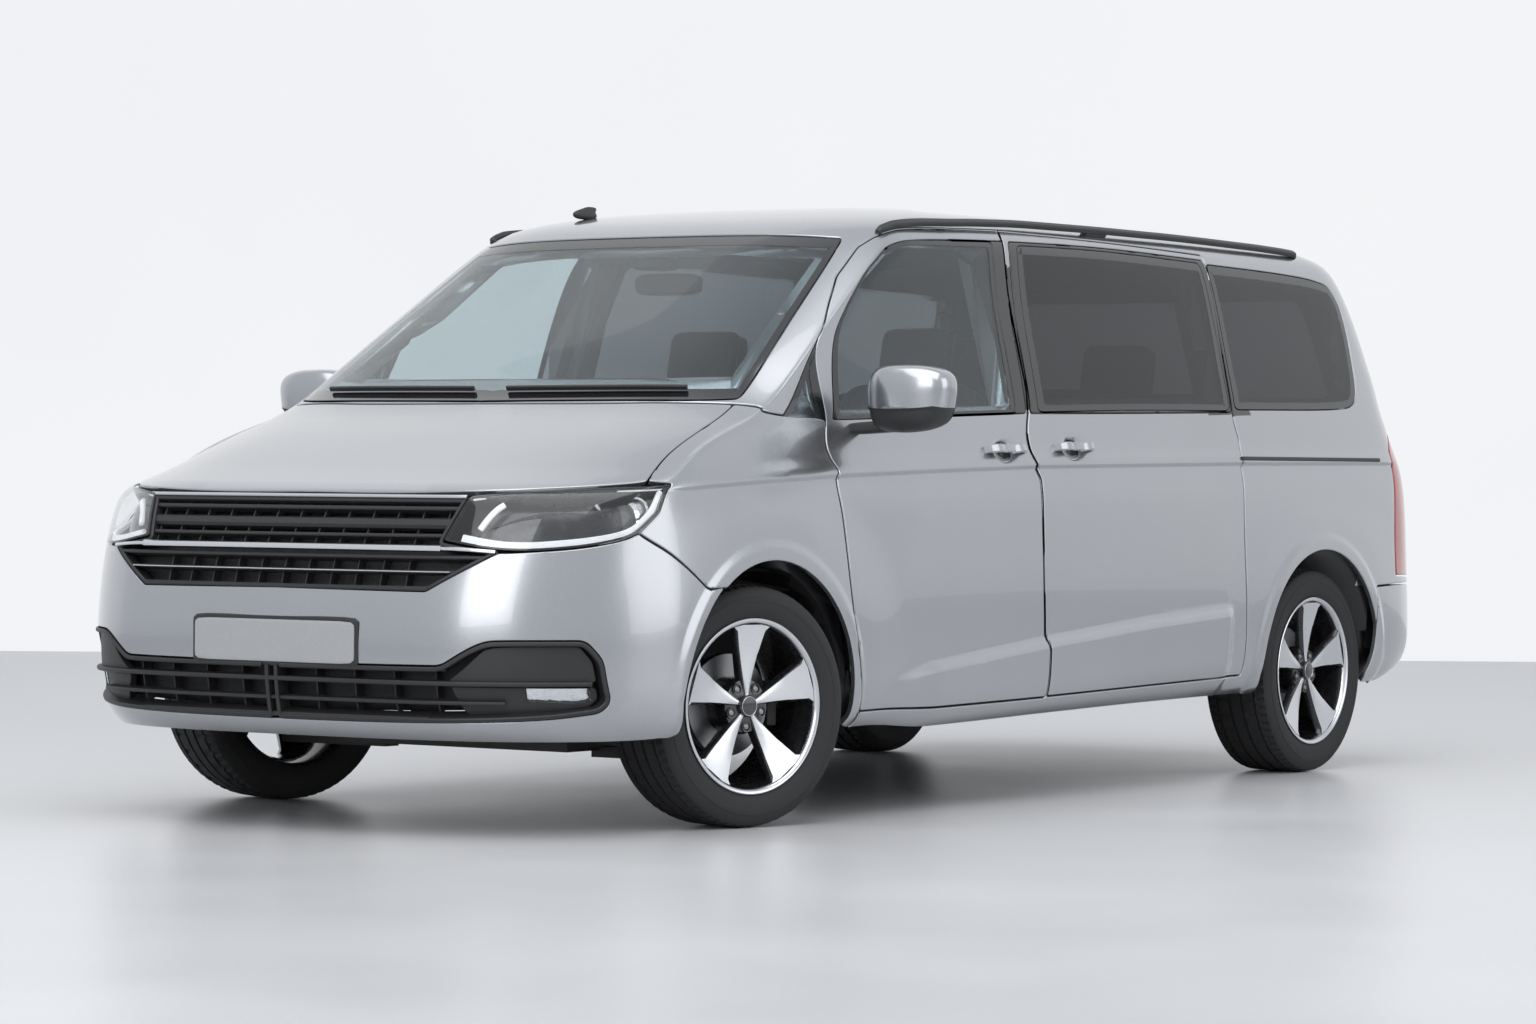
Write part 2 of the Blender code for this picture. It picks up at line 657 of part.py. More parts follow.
def tail_lamp_blank(growth):
    outline = [(-x * HALF_WIDTH, z * ROOF_HEIGHT) for x, z in TAIL_LAMP_SHARES]
    start = LAMP_FRONT_SHARE * HALF_LENGTH - growth
    return prism(grown(outline, growth), FRONT_VIEW, start, 2 * HALF_LENGTH)


def headlamp_blank(growth):
    view = Vector(LAMP_VIEW).normalized()
    across = Vector((-view.y, view.x, 0))
    corners = [Vector((x * HALF_WIDTH, y * HALF_LENGTH, z * ROOF_HEIGHT)) for x, y, z in LAMP_SHARES]
    outline = [(p.dot(across), p.z) for p in corners]
    return prism(grown(outline, growth), LAMP_VIEW, HALF_LENGTH / 2, 2 * HALF_LENGTH)


def grille_blank(shares, growth):
    return prism(grown(front_outline(shares), growth), FRONT_VIEW, -2 * HALF_LENGTH, FIREWALL)


def bonnet():
    made = panel(bonnet_blank(0), 0, SKIN)
    cut(made, grille_blank(GRILLE_SHARES, SHUT_GAP))
    cut(made, both(headlamp_blank(SHUT_GAP)))
    return made


def wing():
    made = panel(side_prism(side_outline(WING_SHARES), WING_INNER), 0, SKIN)
    cut(made, bonnet_blank(SHUT_GAP))
    cut(made, headlamp_blank(SEAM))
    cut(made, wheel_tunnel(FRONT_AXLE, ARCH_RADIUS, 0, 2 * HALF_WIDTH))
    cut(made, grille_blank(GRILLE_SHARES, SEAM))
    return made


def front_bumper():
    made = prism(side_outline(BUMPER_SHARES), SIDE_VIEW, -2 * HALF_WIDTH, 2 * HALF_WIDTH)
    made = panel(made, 0, SKIN)
    cut(made, both(headlamp_blank(SEAM)))
    cut(made, grille_blank(GRILLE_SHARES, SEAM))
    cut(made, grille_blank(INTAKE_SHARES, SEAM))
    cut(made, both(wheel_tunnel(FRONT_AXLE, ARCH_RADIUS, 0, 2 * HALF_WIDTH)))
    width, height = PLATE
    low = (-width / 2, -HALF_LENGTH, PLATE_HEIGHT - height / 2)
    join(made, span(low, (width / 2, -HALF_LENGTH + SKIN, PLATE_HEIGHT + height / 2)))
    return made


def rear_bumper():
    made = prism(side_outline(REAR_BUMPER_SHARES), SIDE_VIEW, -2 * HALF_WIDTH, 2 * HALF_WIDTH)
    made = panel(made, 0, BUMPER_WALL)
    cut(made, tailgate_blank(SHUT_GAP))
    return made


# Wheels, with the axle along X and the rim's outer face at zero
def turned(profile, steps):
    """A ring turned about X from a closed profile of (x, radius) points."""
    bm = bmesh.new()
    points = [bm.verts.new((x, 0, r)) for x, r in profile]
    edges = [bm.edges.new(pair) for pair in zip(points, points[1:] + points[:1])]
    bmesh.ops.spin(bm, geom=points + edges, cent=(0, 0, 0), axis=(1, 0, 0), angle=2 * math.pi, steps=steps, use_merge=True)
    bmesh.ops.remove_doubles(bm, verts=bm.verts, dist=1e-5)
    return add_object("turned", bm)


def tyre_profile():
    middle = -TYRE_WIDTH / 2 + BULGE
    half = []
    for x_share, r_share in TYRE_SHARES:
        half.append((x_share * TYRE_WIDTH / 2, BEAD_RADIUS + r_share * (TYRE_RADIUS - BEAD_RADIUS)))
    left = [(middle + x, r) for x, r in half]
    right = [(middle - x, r) for x, r in reversed(half)]
    return left + right


TYRE_SHARES = ((.82, 0), (.82, .17), (.96, .33), (1, .60), (.90, .90), (.70, 1))
BULGE = 0.008


def rim_profile():
    """The barrel with its flanges, between which the tyre's beads sit."""
    middle = -TYRE_WIDTH / 2 + BULGE
    bead = TYRE_SHARES[0][0] * TYRE_WIDTH / 2 + SEAM
    inner = BEAD_RADIUS - SEAM - BARREL_WALL
    seat = BEAD_RADIUS - SEAM
    far = 2 * middle
    lip = RIM_RADIUS - BARREL_WALL / 2
    return [(middle + bead, seat), (middle + bead, lip), (0, lip), (-BARREL_WALL, inner), (far + BARREL_WALL, inner),
            (far, lip), (middle - bead, lip), (middle - bead, seat)]


SPOKE_END_SHARE = .80
SPOKE_SHARES = ((.20, .42), (.62, .66))


def spoke(turn):
    """One wide spoke, leaning in from the barrel to the hub."""
    end = HUB_RADIUS * SPOKE_END_SHARE
    reach = math.sqrt((BEAD_RADIUS - BARREL_WALL / 3) ** 2 - end ** 2)
    depth = BARREL_WALL * 2
    half = [(r * reach, w * HUB_RADIUS) for r, w in SPOKE_SHARES] + [(reach, end)]
    outline = [(r, -w) for r, w in half] + [(r, w) for r, w in reversed(half)]
    bm = bmesh.new()
    face = bm.faces.new([bm.verts.new((-HUB_RECESS * (1 - r / reach) - BARREL_WALL / 2, w, r)) for r, w in outline])
    swept = bmesh.ops.extrude_face_region(bm, geom=[face])["geom"]
    bmesh.ops.translate(bm, vec=(-depth, 0, 0), verts=[v for v in swept if isinstance(v, bmesh.types.BMVert)])
    bmesh.ops.rotate(bm, cent=(0, 0, 0), matrix=Matrix.Rotation(turn, 3, "X"), verts=bm.verts)
    return add_object("spoke", bm)


def running_bore(radius, sides):
    """The radius of a faceted bore in which a pin with as many facets turns clear."""
    return (radius + SEAM) / math.cos(math.pi / sides)


def rim():
    made = turned(rim_profile(), WHEEL_STEPS)
    hub = cylinder(HUB_RADIUS, (-HUB_RECESS, 0, 0), (-HUB_RECESS - HUB_DEPTH, 0, 0), 10)
    for index in range(SPOKES):
        join(hub, spoke(index * 2 * math.pi / SPOKES))
    disc_face = -HUB_RECESS - HUB_DEPTH + DISC_THICKNESS
    join(hub, cylinder(DISC_RADIUS, (disc_face, 0, 0), (disc_face - DISC_THICKNESS, 0, 0), 12))
    cut(hub, cylinder(running_bore(STUB_RADIUS, STUB_SIDES), (-HUB_RECESS * 2, 0, 0), (-HALF_WIDTH, 0, 0), STUB_SIDES))
    return join(made, hub)


def wheel_matrix(side, front):
    """Where a wheel's outer face stands: steered about its kingpin in front."""
    turn = Matrix.Identity(4) if side > 0 else Matrix.Rotation(math.pi, 4, "Z")
    if not front:
        return Matrix.Translation((side * RIM_FACE, REAR_AXLE, TYRE_RADIUS)) @ turn
    steer = Matrix.Rotation(math.radians(-STEER_AT_REST), 4, "Z")
    pin = Matrix.Translation((side * KINGPIN, FRONT_AXLE, TYRE_RADIUS))
    return pin @ steer @ Matrix.Translation((side * SCRUB, 0, 0)) @ turn


def place(obj, matrix):
    made = copy(obj)
    made.matrix_world = matrix
    return made


def add_wheels():
    tyre = turned(tyre_profile(), WHEEL_STEPS)
    wheel = rim()
    for side, side_name in ((1, "left"), (-1, "right")):
        for front, end_name in ((True, "front"), (False, "rear")):
            matrix = wheel_matrix(side, front)
            finish(place(tyre, matrix), f"{end_name}_tyre_{side_name}", RUBBER)
            finish(place(wheel, matrix), f"{end_name}_rim_{side_name}", ALLOY)


def knuckle(side):
    """The upright that steers with the wheel, its stub axle and brake caliper."""
    stub_end = SCRUB - 2 * HUB_RECESS - SEAM * 4
    width, depth, below, above = KNUCKLE
    upright = span((-width, -depth, -below), (0, depth, above))
    join(upright, cylinder(STUB_RADIUS, (-width / 2, 0, 0), (stub_end, 0, 0), STUB_SIDES))
    reach, height, thickness = CALIPER
    start = DISC_RADIUS + CALIPER_GAP
    join(upright, span((-width / 2, depth / 2, -height * .75), (-SEAM, start + thickness / 2, height * .75)))
    join(upright, span((-width / 5, start, -height), (reach, start + thickness, height)))
    matrix = Matrix.Translation((side * KINGPIN, FRONT_AXLE, TYRE_RADIUS)) @ Matrix.Rotation(math.radians(-STEER_AT_REST), 4, "Z")
    if side < 0:
        upright = mirrored(upright)
    upright.matrix_world = matrix
    return upright


# Underbody
def subframe():
    """The front cross member with its two lower arms, which carry the knuckles."""
    width, length, height = SUBFRAME
    made = span((-width / 2, FRONT_AXLE - length / 2, SUBFRAME_BASE), (width / 2, FRONT_AXLE + length / 2, SUBFRAME_BASE + height))
    arm_top = TYRE_RADIUS - KNUCKLE[2] - SEAM
    reach = KINGPIN + KNUCKLE[0] / 5
    arm = span((width / 2 - SKIN, FRONT_AXLE - ARM_WIDTH / 2, arm_top - ARM_HEIGHT), (reach, FRONT_AXLE + ARM_WIDTH / 2, arm_top))
    join(made, both(arm))
    post = span((width / 2 - ARM_WIDTH, FRONT_AXLE + length / 2 - ARM_WIDTH, SUBFRAME_BASE), (width / 2, FRONT_AXLE + length / 2, FRAME_BASE - SEAM))
    join(made, both(post))
    return made


def front_frame():
    """The two rails ahead of the cabin, the beam behind the bumper and the wheelhouses."""
    left = span((FRAME_OFFSET - FRAME_WIDTH / 2, BEAM_FRONT + SKIN, FRAME_BASE), (FRAME_OFFSET + FRAME_WIDTH / 2, FIREWALL - SEAM, FRAME_BASE + FRAME_HEIGHT))
    made = both(left)
    join(made, span((-FRAME_OFFSET * 1.3, BEAM_FRONT, FRAME_BASE), (FRAME_OFFSET * 1.3, BEAM_FRONT + 2 * SKIN, FRAME_BASE + FRAME_HEIGHT)))
    house = wheel_tunnel(FRONT_AXLE, WHEELHOUSE_RADIUS + WHEELHOUSE_WALL, FRAME_OFFSET, HOUSE_OUTER)
    cut(house, wheel_tunnel(FRONT_AXLE, WHEELHOUSE_RADIUS, WHEELHOUSE_INNER, 2 * HALF_WIDTH))
    cut(house, span((0, -2 * HALF_LENGTH, -OVERRUN), (2 * HALF_WIDTH, 0, FRAME_BASE)))
    cut(house, span((0, FIREWALL - SEAM, -OVERRUN), (2 * HALF_WIDTH, 0, ROOF_HEIGHT)))
    join(made, both(house))
    return made


def rear_axle():
    """The twist beam with its trailing arms and stub axles."""
    reach = RIM_FACE - 2 * HUB_RECESS - SEAM * 4
    made = cylinder(STUB_RADIUS, (-reach, REAR_AXLE, TYRE_RADIUS), (reach, REAR_AXLE, TYRE_RADIUS), STUB_SIDES)
    offset, rise = BEAM_RADIUS * .3, BEAM_RADIUS * .06
    start = (-REAR_ARM, REAR_AXLE - offset, TYRE_RADIUS + rise)
    join(made, cylinder(BEAM_RADIUS, start, (REAR_ARM, REAR_AXLE - offset, TYRE_RADIUS + rise), 12))
    wide, tall, length = TRAILING_ARM
    arm = span((REAR_ARM - wide, REAR_AXLE - length, TYRE_RADIUS - tall / 2), (REAR_ARM, REAR_AXLE + tall, TYRE_RADIUS + tall / 2))
    low = (REAR_ARM - wide * 1.2, REAR_AXLE - length - wide / 2, TYRE_RADIUS - tall / 2)
    high = (REAR_ARM + wide / 5, REAR_AXLE - length + tall, FLOOR_TOP - FLOOR_THICKNESS - SEAM)
    join(arm, span(low, high))
    join(made, both(arm))
    return made


# Cabin
def seat(width, centre, front):
    """A cushion on its base, a leaning back and a head rest, joined."""
    base = SEAT_HEIGHT - SEAT_THICKNESS
    x, y = centre, front
    cushion = rounded(span((x - width / 2, y, base), (x + width / 2, y + SEAT_DEPTH, SEAT_HEIGHT)), SEAT_THICKNESS / 4, 1)
    back = rounded(box((width, SEAT_THICKNESS, SEAT_BACK), (0, 0, SEAT_BACK / 2)), SEAT_THICKNESS / 4, 1)
    centre = (0, 0, SEAT_BACK + HEAD_REST * .35)
    rest = rounded(box((min(width, SEAT_WIDTH) * .52, SEAT_THICKNESS * .7, HEAD_REST), centre), SEAT_THICKNESS / 5, 1)
    join(back, rest)
    foot = (x, y + SEAT_DEPTH - SEAT_THICKNESS / 4, base + SEAT_THICKNESS / 3)
    back.matrix_world = Matrix.Translation(foot) @ Matrix.Rotation(math.radians(-SEAT_LEAN), 4, "X")
    join(cushion, back)
    low = (x - width * .38, y + SEAT_DEPTH * .12, FLOOR_TOP + SEAM)
    join(cushion, span(low, (x + width * .38, y + SEAT_DEPTH * .80, base + SEAT_THICKNESS / 14)))
    return cushion


def dashboard():
    start = FIREWALL + WALL / 2 + SEAM
    outline = [(start + y * DASH_DEPTH, DASH_BASE + z * DASH_HEIGHT) for y, z in DASH_SHARES]
    made = prism(outline, SIDE_VIEW, -DASH_WIDTH / 2, DASH_WIDTH / 2)
    radius = WHEELHOUSE_RADIUS + WHEELHOUSE_WALL + SEAM
    cut(made, both(wheel_tunnel(FRONT_AXLE, radius, WHEELHOUSE_INNER - WHEELHOUSE_WALL - SEAM, 2 * HALF_WIDTH)))
    socket = cylinder(running_bore(STEERING_TUBE * 1.6, COLUMN_SIDES), (0, 0, 0), (0, 0, -COLUMN - SEAM), COLUMN_SIDES)
    socket.matrix_world = steering_matrix()
    return cut(made, socket)


def steering_matrix():
    """The steering wheel's place on its column, turned as far as the wheels are steered."""
    tilt = Matrix.Rotation(math.radians(STEERING_TILT - 90), 4, "X")
    turn = Matrix.Rotation(math.radians(-STEER_AT_REST * STEERING_RATIO), 4, "Z")
    return Matrix.Translation(STEERING_PLACE) @ tilt @ turn


def steering_wheel():
    bm = bmesh.new()
    ring = []
    steps, sides = 16, 5
    for i in range(steps):
        a = 2 * math.pi * i / steps
        row = []
        for j in range(sides):
            b = 2 * math.pi * j / sides
            r = STEERING_RADIUS - STEERING_TUBE + STEERING_TUBE * math.cos(b)
            row.append(bm.verts.new((r * math.cos(a), r * math.sin(a), STEERING_TUBE * math.sin(b))))
        ring.append(row)
    for i in range(steps):
        for j in range(sides):
            n, m = (i + 1) % steps, (j + 1) % sides
            bm.faces.new((ring[i][j], ring[n][j], ring[n][m], ring[i][m]))
    made = add_object("steering", bm)
    reach = STEERING_RADIUS - STEERING_TUBE
    join(made, box((2 * reach, STEERING_TUBE * 2.4, STEERING_TUBE), (0, 0, -STEERING_TUBE / 2)))
    join(made, box((STEERING_TUBE * 2.4, reach, STEERING_TUBE), (0, -reach / 2, -STEERING_TUBE / 2)))
    join(made, cylinder(STEERING_RADIUS * .36, (0, 0, STEERING_TUBE), (0, 0, -STEERING_TUBE * 3), 10))
    join(made, cylinder(STEERING_TUBE * 1.6, (0, 0, 0), (0, 0, -COLUMN), COLUMN_SIDES))
    made.matrix_world = steering_matrix()
    return made


COLUMN = 0.250
STEERING_RATIO = 14
STEERING_SHARES = (-.32323, .57143)
STEERING_PLACE = (SEAT_OFFSET, STEERING_SHARES[0] * HALF_LENGTH, STEERING_SHARES[1] * ROOF_HEIGHT)


def roof_height_at(x, y):
    """The roof's height over a place, on the facets of the outer form."""
    found = ROOF.ray_cast(Vector((x, y, 2 * ROOF_HEIGHT)), Vector((0, 0, -1)))
    return found[0].z


def roof_rail():
    """A bar over the roof's edge on two long feet, its top flat between them."""
    bm = bmesh.new()
    start, end = RAIL_START_SHARE * HALF_LENGTH, RAIL_END_SHARE * HALF_LENGTH
    places = [start + (end - start) * s for s in RAIL_PLACE_SHARES]
    rows = []
    near, far = RAIL_OFFSET - RAIL_WIDTH / 2, RAIL_OFFSET + RAIL_WIDTH / 2
    for y, rise in zip(places, RAIL_RISE_SHARES):
        low = roof_height_at(RAIL_OFFSET, y) + rise * RAIL_HEIGHT
        high = low + RAIL_HEIGHT
        rows.append([bm.verts.new((x, y, z)) for x, z in ((near, low), (far, low), (far, high), (near, high))])
    for a, b in zip(rows, rows[1:]):
        for i in range(4):
            j = (i + 1) % 4
            bm.faces.new((a[i], a[j], b[j], b[i]))
    bm.faces.new(rows[0])
    bm.faces.new(rows[-1])
    made = add_object("rail", bm)
    half = RAIL_WIDTH / 2.2
    for y in (places[1], places[len(places) // 2], places[-2]):
        roof = roof_height_at(RAIL_OFFSET, y)
        low = (RAIL_OFFSET - half, y - RAIL_FOOT / 2, roof - RAIL_HEIGHT * .75)
        join(made, span(low, (RAIL_OFFSET + half, y + RAIL_FOOT / 2, roof + RAIL_HEIGHT)))
    return cut(made, HULLS[-SEAM])


RAIL_PLACE_SHARES = (0, .03, .18, .34, .50, .66, .82, .97, 1)
RAIL_RISE_SHARES = (-.9, .2, .9, 1, 1, 1, .9, .2, -.9)


def mirror():
    """The mirror's rounded housing on its arm from the door."""
    width, depth, height = MIRROR
    centre = (HALF_WIDTH + MIRROR_REACH, MIRROR_PLACE_SHARES[0] * HALF_LENGTH, MIRROR_PLACE_SHARES[1] * ROOF_HEIGHT)
    made = rounded(box(MIRROR, (0, 0, 0)), MIRROR_ROUND, 2)
    made.matrix_world = Matrix.Translation(centre)
    x, y, z = centre
    arm = span((HALF_WIDTH - MIRROR_REACH, y - depth / 2, z - MIRROR_DROP), (x - width / 4, y + depth / 3, z - height * .42))
    return join(copy_world(made), arm)


def handle(share):
    """A pull handle on the door's skin: a rounded bar on two feet."""
    thick, length, height = HANDLE
    y, z = share[0] * HALF_LENGTH, share[1] * ROOF_HEIGHT
    skin = SIDE.ray_cast(Vector((2 * HALF_WIDTH, y, z)), Vector((-1, 0, 0)))[0].x
    x = skin + HANDLE_STAND + thick / 2
    bar = rounded(box(HANDLE, (x, y, z)), thick / 4, 1)
    for end in (-1, 1):
        foot = y + end * (length - HANDLE_FOOT) / 2
        low = (skin - SKIN / 2, foot - HANDLE_FOOT / 3, z - height / 3)
        join(bar, span(low, (x, foot + HANDLE_FOOT / 3, z + height / 3)))
    return bar


def slotted(plate, slots, half_width, ribs):
    """The plate with rows of slots between its bars, and upright ribs left in each row."""
    for low, high in slots:
        for start, end in ribs:
            low_corner = (start * half_width, -2 * HALF_LENGTH, low * ROOF_HEIGHT)
            cut(plate, both(span(low_corner, (end * half_width, FIREWALL, high * ROOF_HEIGHT))))
    return plate


def copy_world(obj):
    bm = bmesh.new()
    bm.from_mesh(obj.data)
    bmesh.ops.transform(bm, matrix=obj.matrix_world, verts=bm.verts)
    return add_object(obj.name, bm)


for old in list(bpy.data.objects):
    bpy.data.objects.remove(old)
VAN = collection("van")
HELPERS = collection("helpers")
PAINT = material("silver paint", (.42, .43, .45), .32, .8)
DARK = material("black plastic", (.02, .02, .022), .5)
RUBBER = material("tyre rubber", (.02, .02, .02), .85)
ALLOY = material("machined alloy", (.75, .76, .77), .3, 1)
CLEAR = material("window glass", (.08, .1, .11), .05)
LENS = material("lamp lens", (.6, .62, .65), .1)
RED = material("tail lamp red", (.4, .01, .01), .2)
STEEL = material("chassis steel", (.06, .06, .06), .6, .4)
CLOTH = material("seat cloth", (.05, .05, .055), .9)
IRON = material("engine iron", (.18, .18, .18), .6, .5)

GLASS_REBATE = GLASS_DEPTH + GLASS + SEAM
SKIN_SEAT = SKIN + SEAM
SKIN_GAP = SKIN + SHUT_GAP
WALL_GAP = WALL + SHUT_GAP
WALL_SEAT = WALL + SEAM
BUMPER_SEAT = BUMPER_WALL + SEAM
LAMP_WALL = .05
QUARTER_MARGIN = .04
DOOR_PIN_SHARE = -.46667
DOOR_PIN = (HALF_WIDTH, DOOR_PIN_SHARE * HALF_LENGTH)
DOOR_LEAVES_SHARES = (.34734, .50420)
DOOR_LEAVES = tuple(share * ROOF_HEIGHT for share in DOOR_LEAVES_SHARES)
TAILGATE_PIN_SHARE = .86505
TAILGATE_PIN = (TAILGATE_PIN_SHARE * HALF_LENGTH, TAILGATE_SHARES[-1][1] * ROOF_HEIGHT)
TAILGATE_LEAF = .30
BONNET_PIN_SHARES = (-.60606, .64986)
BONNET_PIN = (BONNET_PIN_SHARES[0] * HALF_LENGTH, BONNET_PIN_SHARES[1] * ROOF_HEIGHT)
BONNET_LEAF = .62
LAMP_SEAT = LAMP_WALL + SEAM
COWL_SHARES = (-.66263, .59384)
COWL_FRONT = COWL_SHARES[0] * HALF_LENGTH
COWL_BASE = COWL_SHARES[1] * ROOF_HEIGHT
BONNET_BASE_SHARE = .48179
BONNET_BASE = BONNET_BASE_SHARE * ROOF_HEIGHT
DEPTHS = (-SEAM, 0, FLANGE, GLASS_DEPTH, GLASS_DEPTH + GLASS, GLASS_REBATE, SKIN, SKIN_SEAT, SKIN_GAP, BUMPER_WALL, BUMPER_SEAT, LAMP_WALL, LAMP_SEAT,
          LAMP_DEPTH, LAMP_DEPTH + SEAM, WALL, WALL_SEAT, WALL_GAP)
HULLS = {depth: hull(depth) for depth in DEPTHS}
ROOF = BVHTree.FromObject(HULLS[0], bpy.context.evaluated_depsgraph_get())
SIDE = ROOF


def main():
    shell = body_shell()
    door = closure(door_blank)
    slider = panel(side_prism(side_outline(SLIDING_DOOR_SHARES)), 0, WALL)
    high = 2 * HALF_WIDTH
    door_glass = glaze([door], side_outline(DOOR_GLASS_SHARES), SIDE_VIEW, SIDE_START, high, .022)
    slider_glass = glaze([slider], side_outline(SLIDING_GLASS_SHARES), SIDE_VIEW, SIDE_START, high, .035)
    quarter = glaze([], side_outline(QUARTER_GLASS_SHARES), SIDE_VIEW, SIDE_START, high, .05)
    rebate = outside(side_prism(grown(side_outline(QUARTER_GLASS_SHARES), SEAM)), GLASS_REBATE)
    cut(shell, both(rebate))
    hole = side_prism(grown(side_outline(QUARTER_GLASS_SHARES), -QUARTER_MARGIN))
    post = pillar_places()[1]
    cut(hole, span((0, post, 0), (2 * HALF_WIDTH, post + PILLAR_WIDTH, ROOF_HEIGHT)))
    cut(shell, both(hole))
    corner = glaze([], side_outline(CORNER_GLASS_SHARES), SIDE_VIEW, SIDE_START, high, .03)
    cut(shell, both(outside(side_prism(grown(side_outline(CORNER_GLASS_SHARES), SEAM)), GLASS_REBATE)))
    cut(shell, both(side_prism(grown(side_outline(CORNER_GLASS_SHARES), -.028))))
    windscreen = glaze([shell], front_outline(WINDSCREEN_SHARES), FRONT_VIEW, COWL_FRONT - .1, 0, .05)
    tailgate = closure(tailgate_blank)
    rear_glass = glaze([tailgate], front_outline(REAR_GLASS_SHARES), FRONT_VIEW, REAR_AXLE, 2 * HALF_LENGTH, .04)
    finish(shell, "body_shell", PAINT)
    for obj, name, look in ((door, "front_door", PAINT), (slider, "sliding_door", PAINT), (door_glass, "front_door_glass", CLEAR),
                            (slider_glass, "sliding_door_glass", CLEAR), (quarter, "quarter_glass", CLEAR), (corner, "corner_glass", CLEAR),
                            (wing(), "wing", PAINT), (common(headlamp_blank(0), HULLS[0]), "headlamp", LENS),
                            (panel(tail_lamp_blank(0), 0, LAMP_WALL), "tail_lamp", RED), (roof_rail(), "roof_rail", DARK)):
        if name == "headlamp":
            cut(obj, HULLS[LAMP_DEPTH])
            cut(obj, span((0, LAMP_REAR, 0), (high, high, ROOF_HEIGHT)))
        if name == "front_door":
            join(obj, mirror())
            join(obj, handle(HANDLE_PLACE_SHARES[0]))
        if name == "sliding_door":
            join(obj, handle(HANDLE_PLACE_SHARES[1]))
        other = mirrored(obj)
        if name.startswith("front_door"):
            hang(obj, (DOOR_PIN[0], DOOR_PIN[1], DOOR_LEAVES[0]))
            hang(other, (-DOOR_PIN[0], DOOR_PIN[1], DOOR_LEAVES[0]))
        finish(other, name + "_right", look)
        finish(obj, name + "_left", look)
    finish(windscreen, "windscreen", CLEAR)
    finish(hang(tailgate, (0, *TAILGATE_PIN)), "tailgate", PAINT)
    finish(hang(rear_glass, (0, *TAILGATE_PIN)), "tailgate_glass", CLEAR)
    finish(hang(bonnet(), (0, *BONNET_PIN)), "bonnet", PAINT)
    finish(front_bumper(), "front_bumper", PAINT)
    finish(rear_bumper(), "rear_bumper", PAINT)
    for shares, name in ((GRILLE_SHARES, "grille"), (INTAKE_SHARES, "lower_intake")):
        made = panel(grille_blank(shares, 0), GLASS_DEPTH, SKIN)
        if name == "grille":
            cut(made, both(headlamp_blank(SEAM)))
            slotted(made, GRILLE_SLOT_SHARES, HALF_WIDTH, GRILLE_RIB_SHARES)
        else:
            slotted(made, INTAKE_SLOT_SHARES, HALF_WIDTH, INTAKE_RIB_SHARES)
        finish(made, name, DARK)
    add_wheels()
    fronts = [share * HALF_LENGTH for share in SEAT_FRONTS_SHARES]
    for side, name in ((1, "left"), (-1, "right")):
        finish(knuckle(side), "knuckle_" + name, STEEL)
        finish(seat(SEAT_WIDTH, side * SEAT_OFFSET, fronts[0]), "front_seat_" + name, CLOTH)
    finish(seat(BENCH_WIDTH, 0, fronts[1]), "middle_bench", CLOTH)
    finish(seat(BENCH_WIDTH, 0, fronts[2]), "rear_bench", CLOTH)
    finish(dashboard(), "dashboard", DARK)
    finish(steering_wheel(), "steering_wheel", DARK)
    finish(subframe(), "subframe", STEEL)
    finish(front_frame(), "front_frame", STEEL)
    finish(rear_axle(), "rear_axle", STEEL)
    width = 2 * (FRAME_OFFSET - FRAME_WIDTH / 2 - SEAM)
    centre = (0, ENGINE_SHARE * HALF_LENGTH, ENGINE_BASE + ENGINE_HEIGHT / 2)
    block = box((width, ENGINE_LENGTH, ENGINE_HEIGHT), centre)
    finish(block, "engine", IRON)


main()
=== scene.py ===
"""The look of a silver mid-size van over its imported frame: pressed panels with rolled edges, glass with
its black border, lamps, grilles, turned wheels and the cabin, in a plain pale hall."""

import math

import bmesh
import bpy
import numpy as np
from mathutils import Matrix, Vector
from mathutils.bvhtree import BVHTree
from mathutils.geometry import delaunay_2d_cdt


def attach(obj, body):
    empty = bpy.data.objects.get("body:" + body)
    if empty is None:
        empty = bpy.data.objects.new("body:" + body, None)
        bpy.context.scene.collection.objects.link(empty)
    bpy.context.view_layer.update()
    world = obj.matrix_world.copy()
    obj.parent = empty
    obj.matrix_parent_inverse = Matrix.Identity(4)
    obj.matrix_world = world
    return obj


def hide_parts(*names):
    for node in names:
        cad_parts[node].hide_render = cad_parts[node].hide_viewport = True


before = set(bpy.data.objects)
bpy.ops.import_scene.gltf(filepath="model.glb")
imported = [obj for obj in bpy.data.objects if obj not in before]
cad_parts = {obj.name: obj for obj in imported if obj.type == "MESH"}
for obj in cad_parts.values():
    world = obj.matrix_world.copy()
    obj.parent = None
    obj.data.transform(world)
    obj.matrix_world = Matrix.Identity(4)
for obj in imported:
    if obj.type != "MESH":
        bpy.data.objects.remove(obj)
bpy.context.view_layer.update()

# The place the van is seen from, the pale hall around it and the soft lamps over it. The floor is
# polished screed and the wall is plain plaster, far behind the van and bright to camera and gloss.
scene = bpy.context.scene
scene.view_settings.view_transform = "Standard"
camera_spot, yaw, pitch, roll = (8.28052, -12.01225, 0.96904), 0.610199, -0.008797, 0.007090
forward = Vector((-math.sin(yaw) * math.cos(pitch), math.cos(yaw) * math.cos(pitch), math.sin(pitch)))
level_right = Vector((math.cos(yaw), math.sin(yaw), 0))
level_up = level_right.cross(forward)
camera_right = math.cos(roll) * level_right + math.sin(roll) * level_up
camera_up = -math.sin(roll) * level_right + math.cos(roll) * level_up
camera = bpy.data.objects.new("camera", bpy.data.cameras.new("camera"))
scene.collection.objects.link(camera)
turn = Matrix((camera_right, camera_up, -forward)).transposed().to_4x4()
camera.matrix_world = Matrix.Translation(camera_spot) @ turn
camera.data.lens = 110.66
camera.data.sensor_width = 36
scene.camera = camera


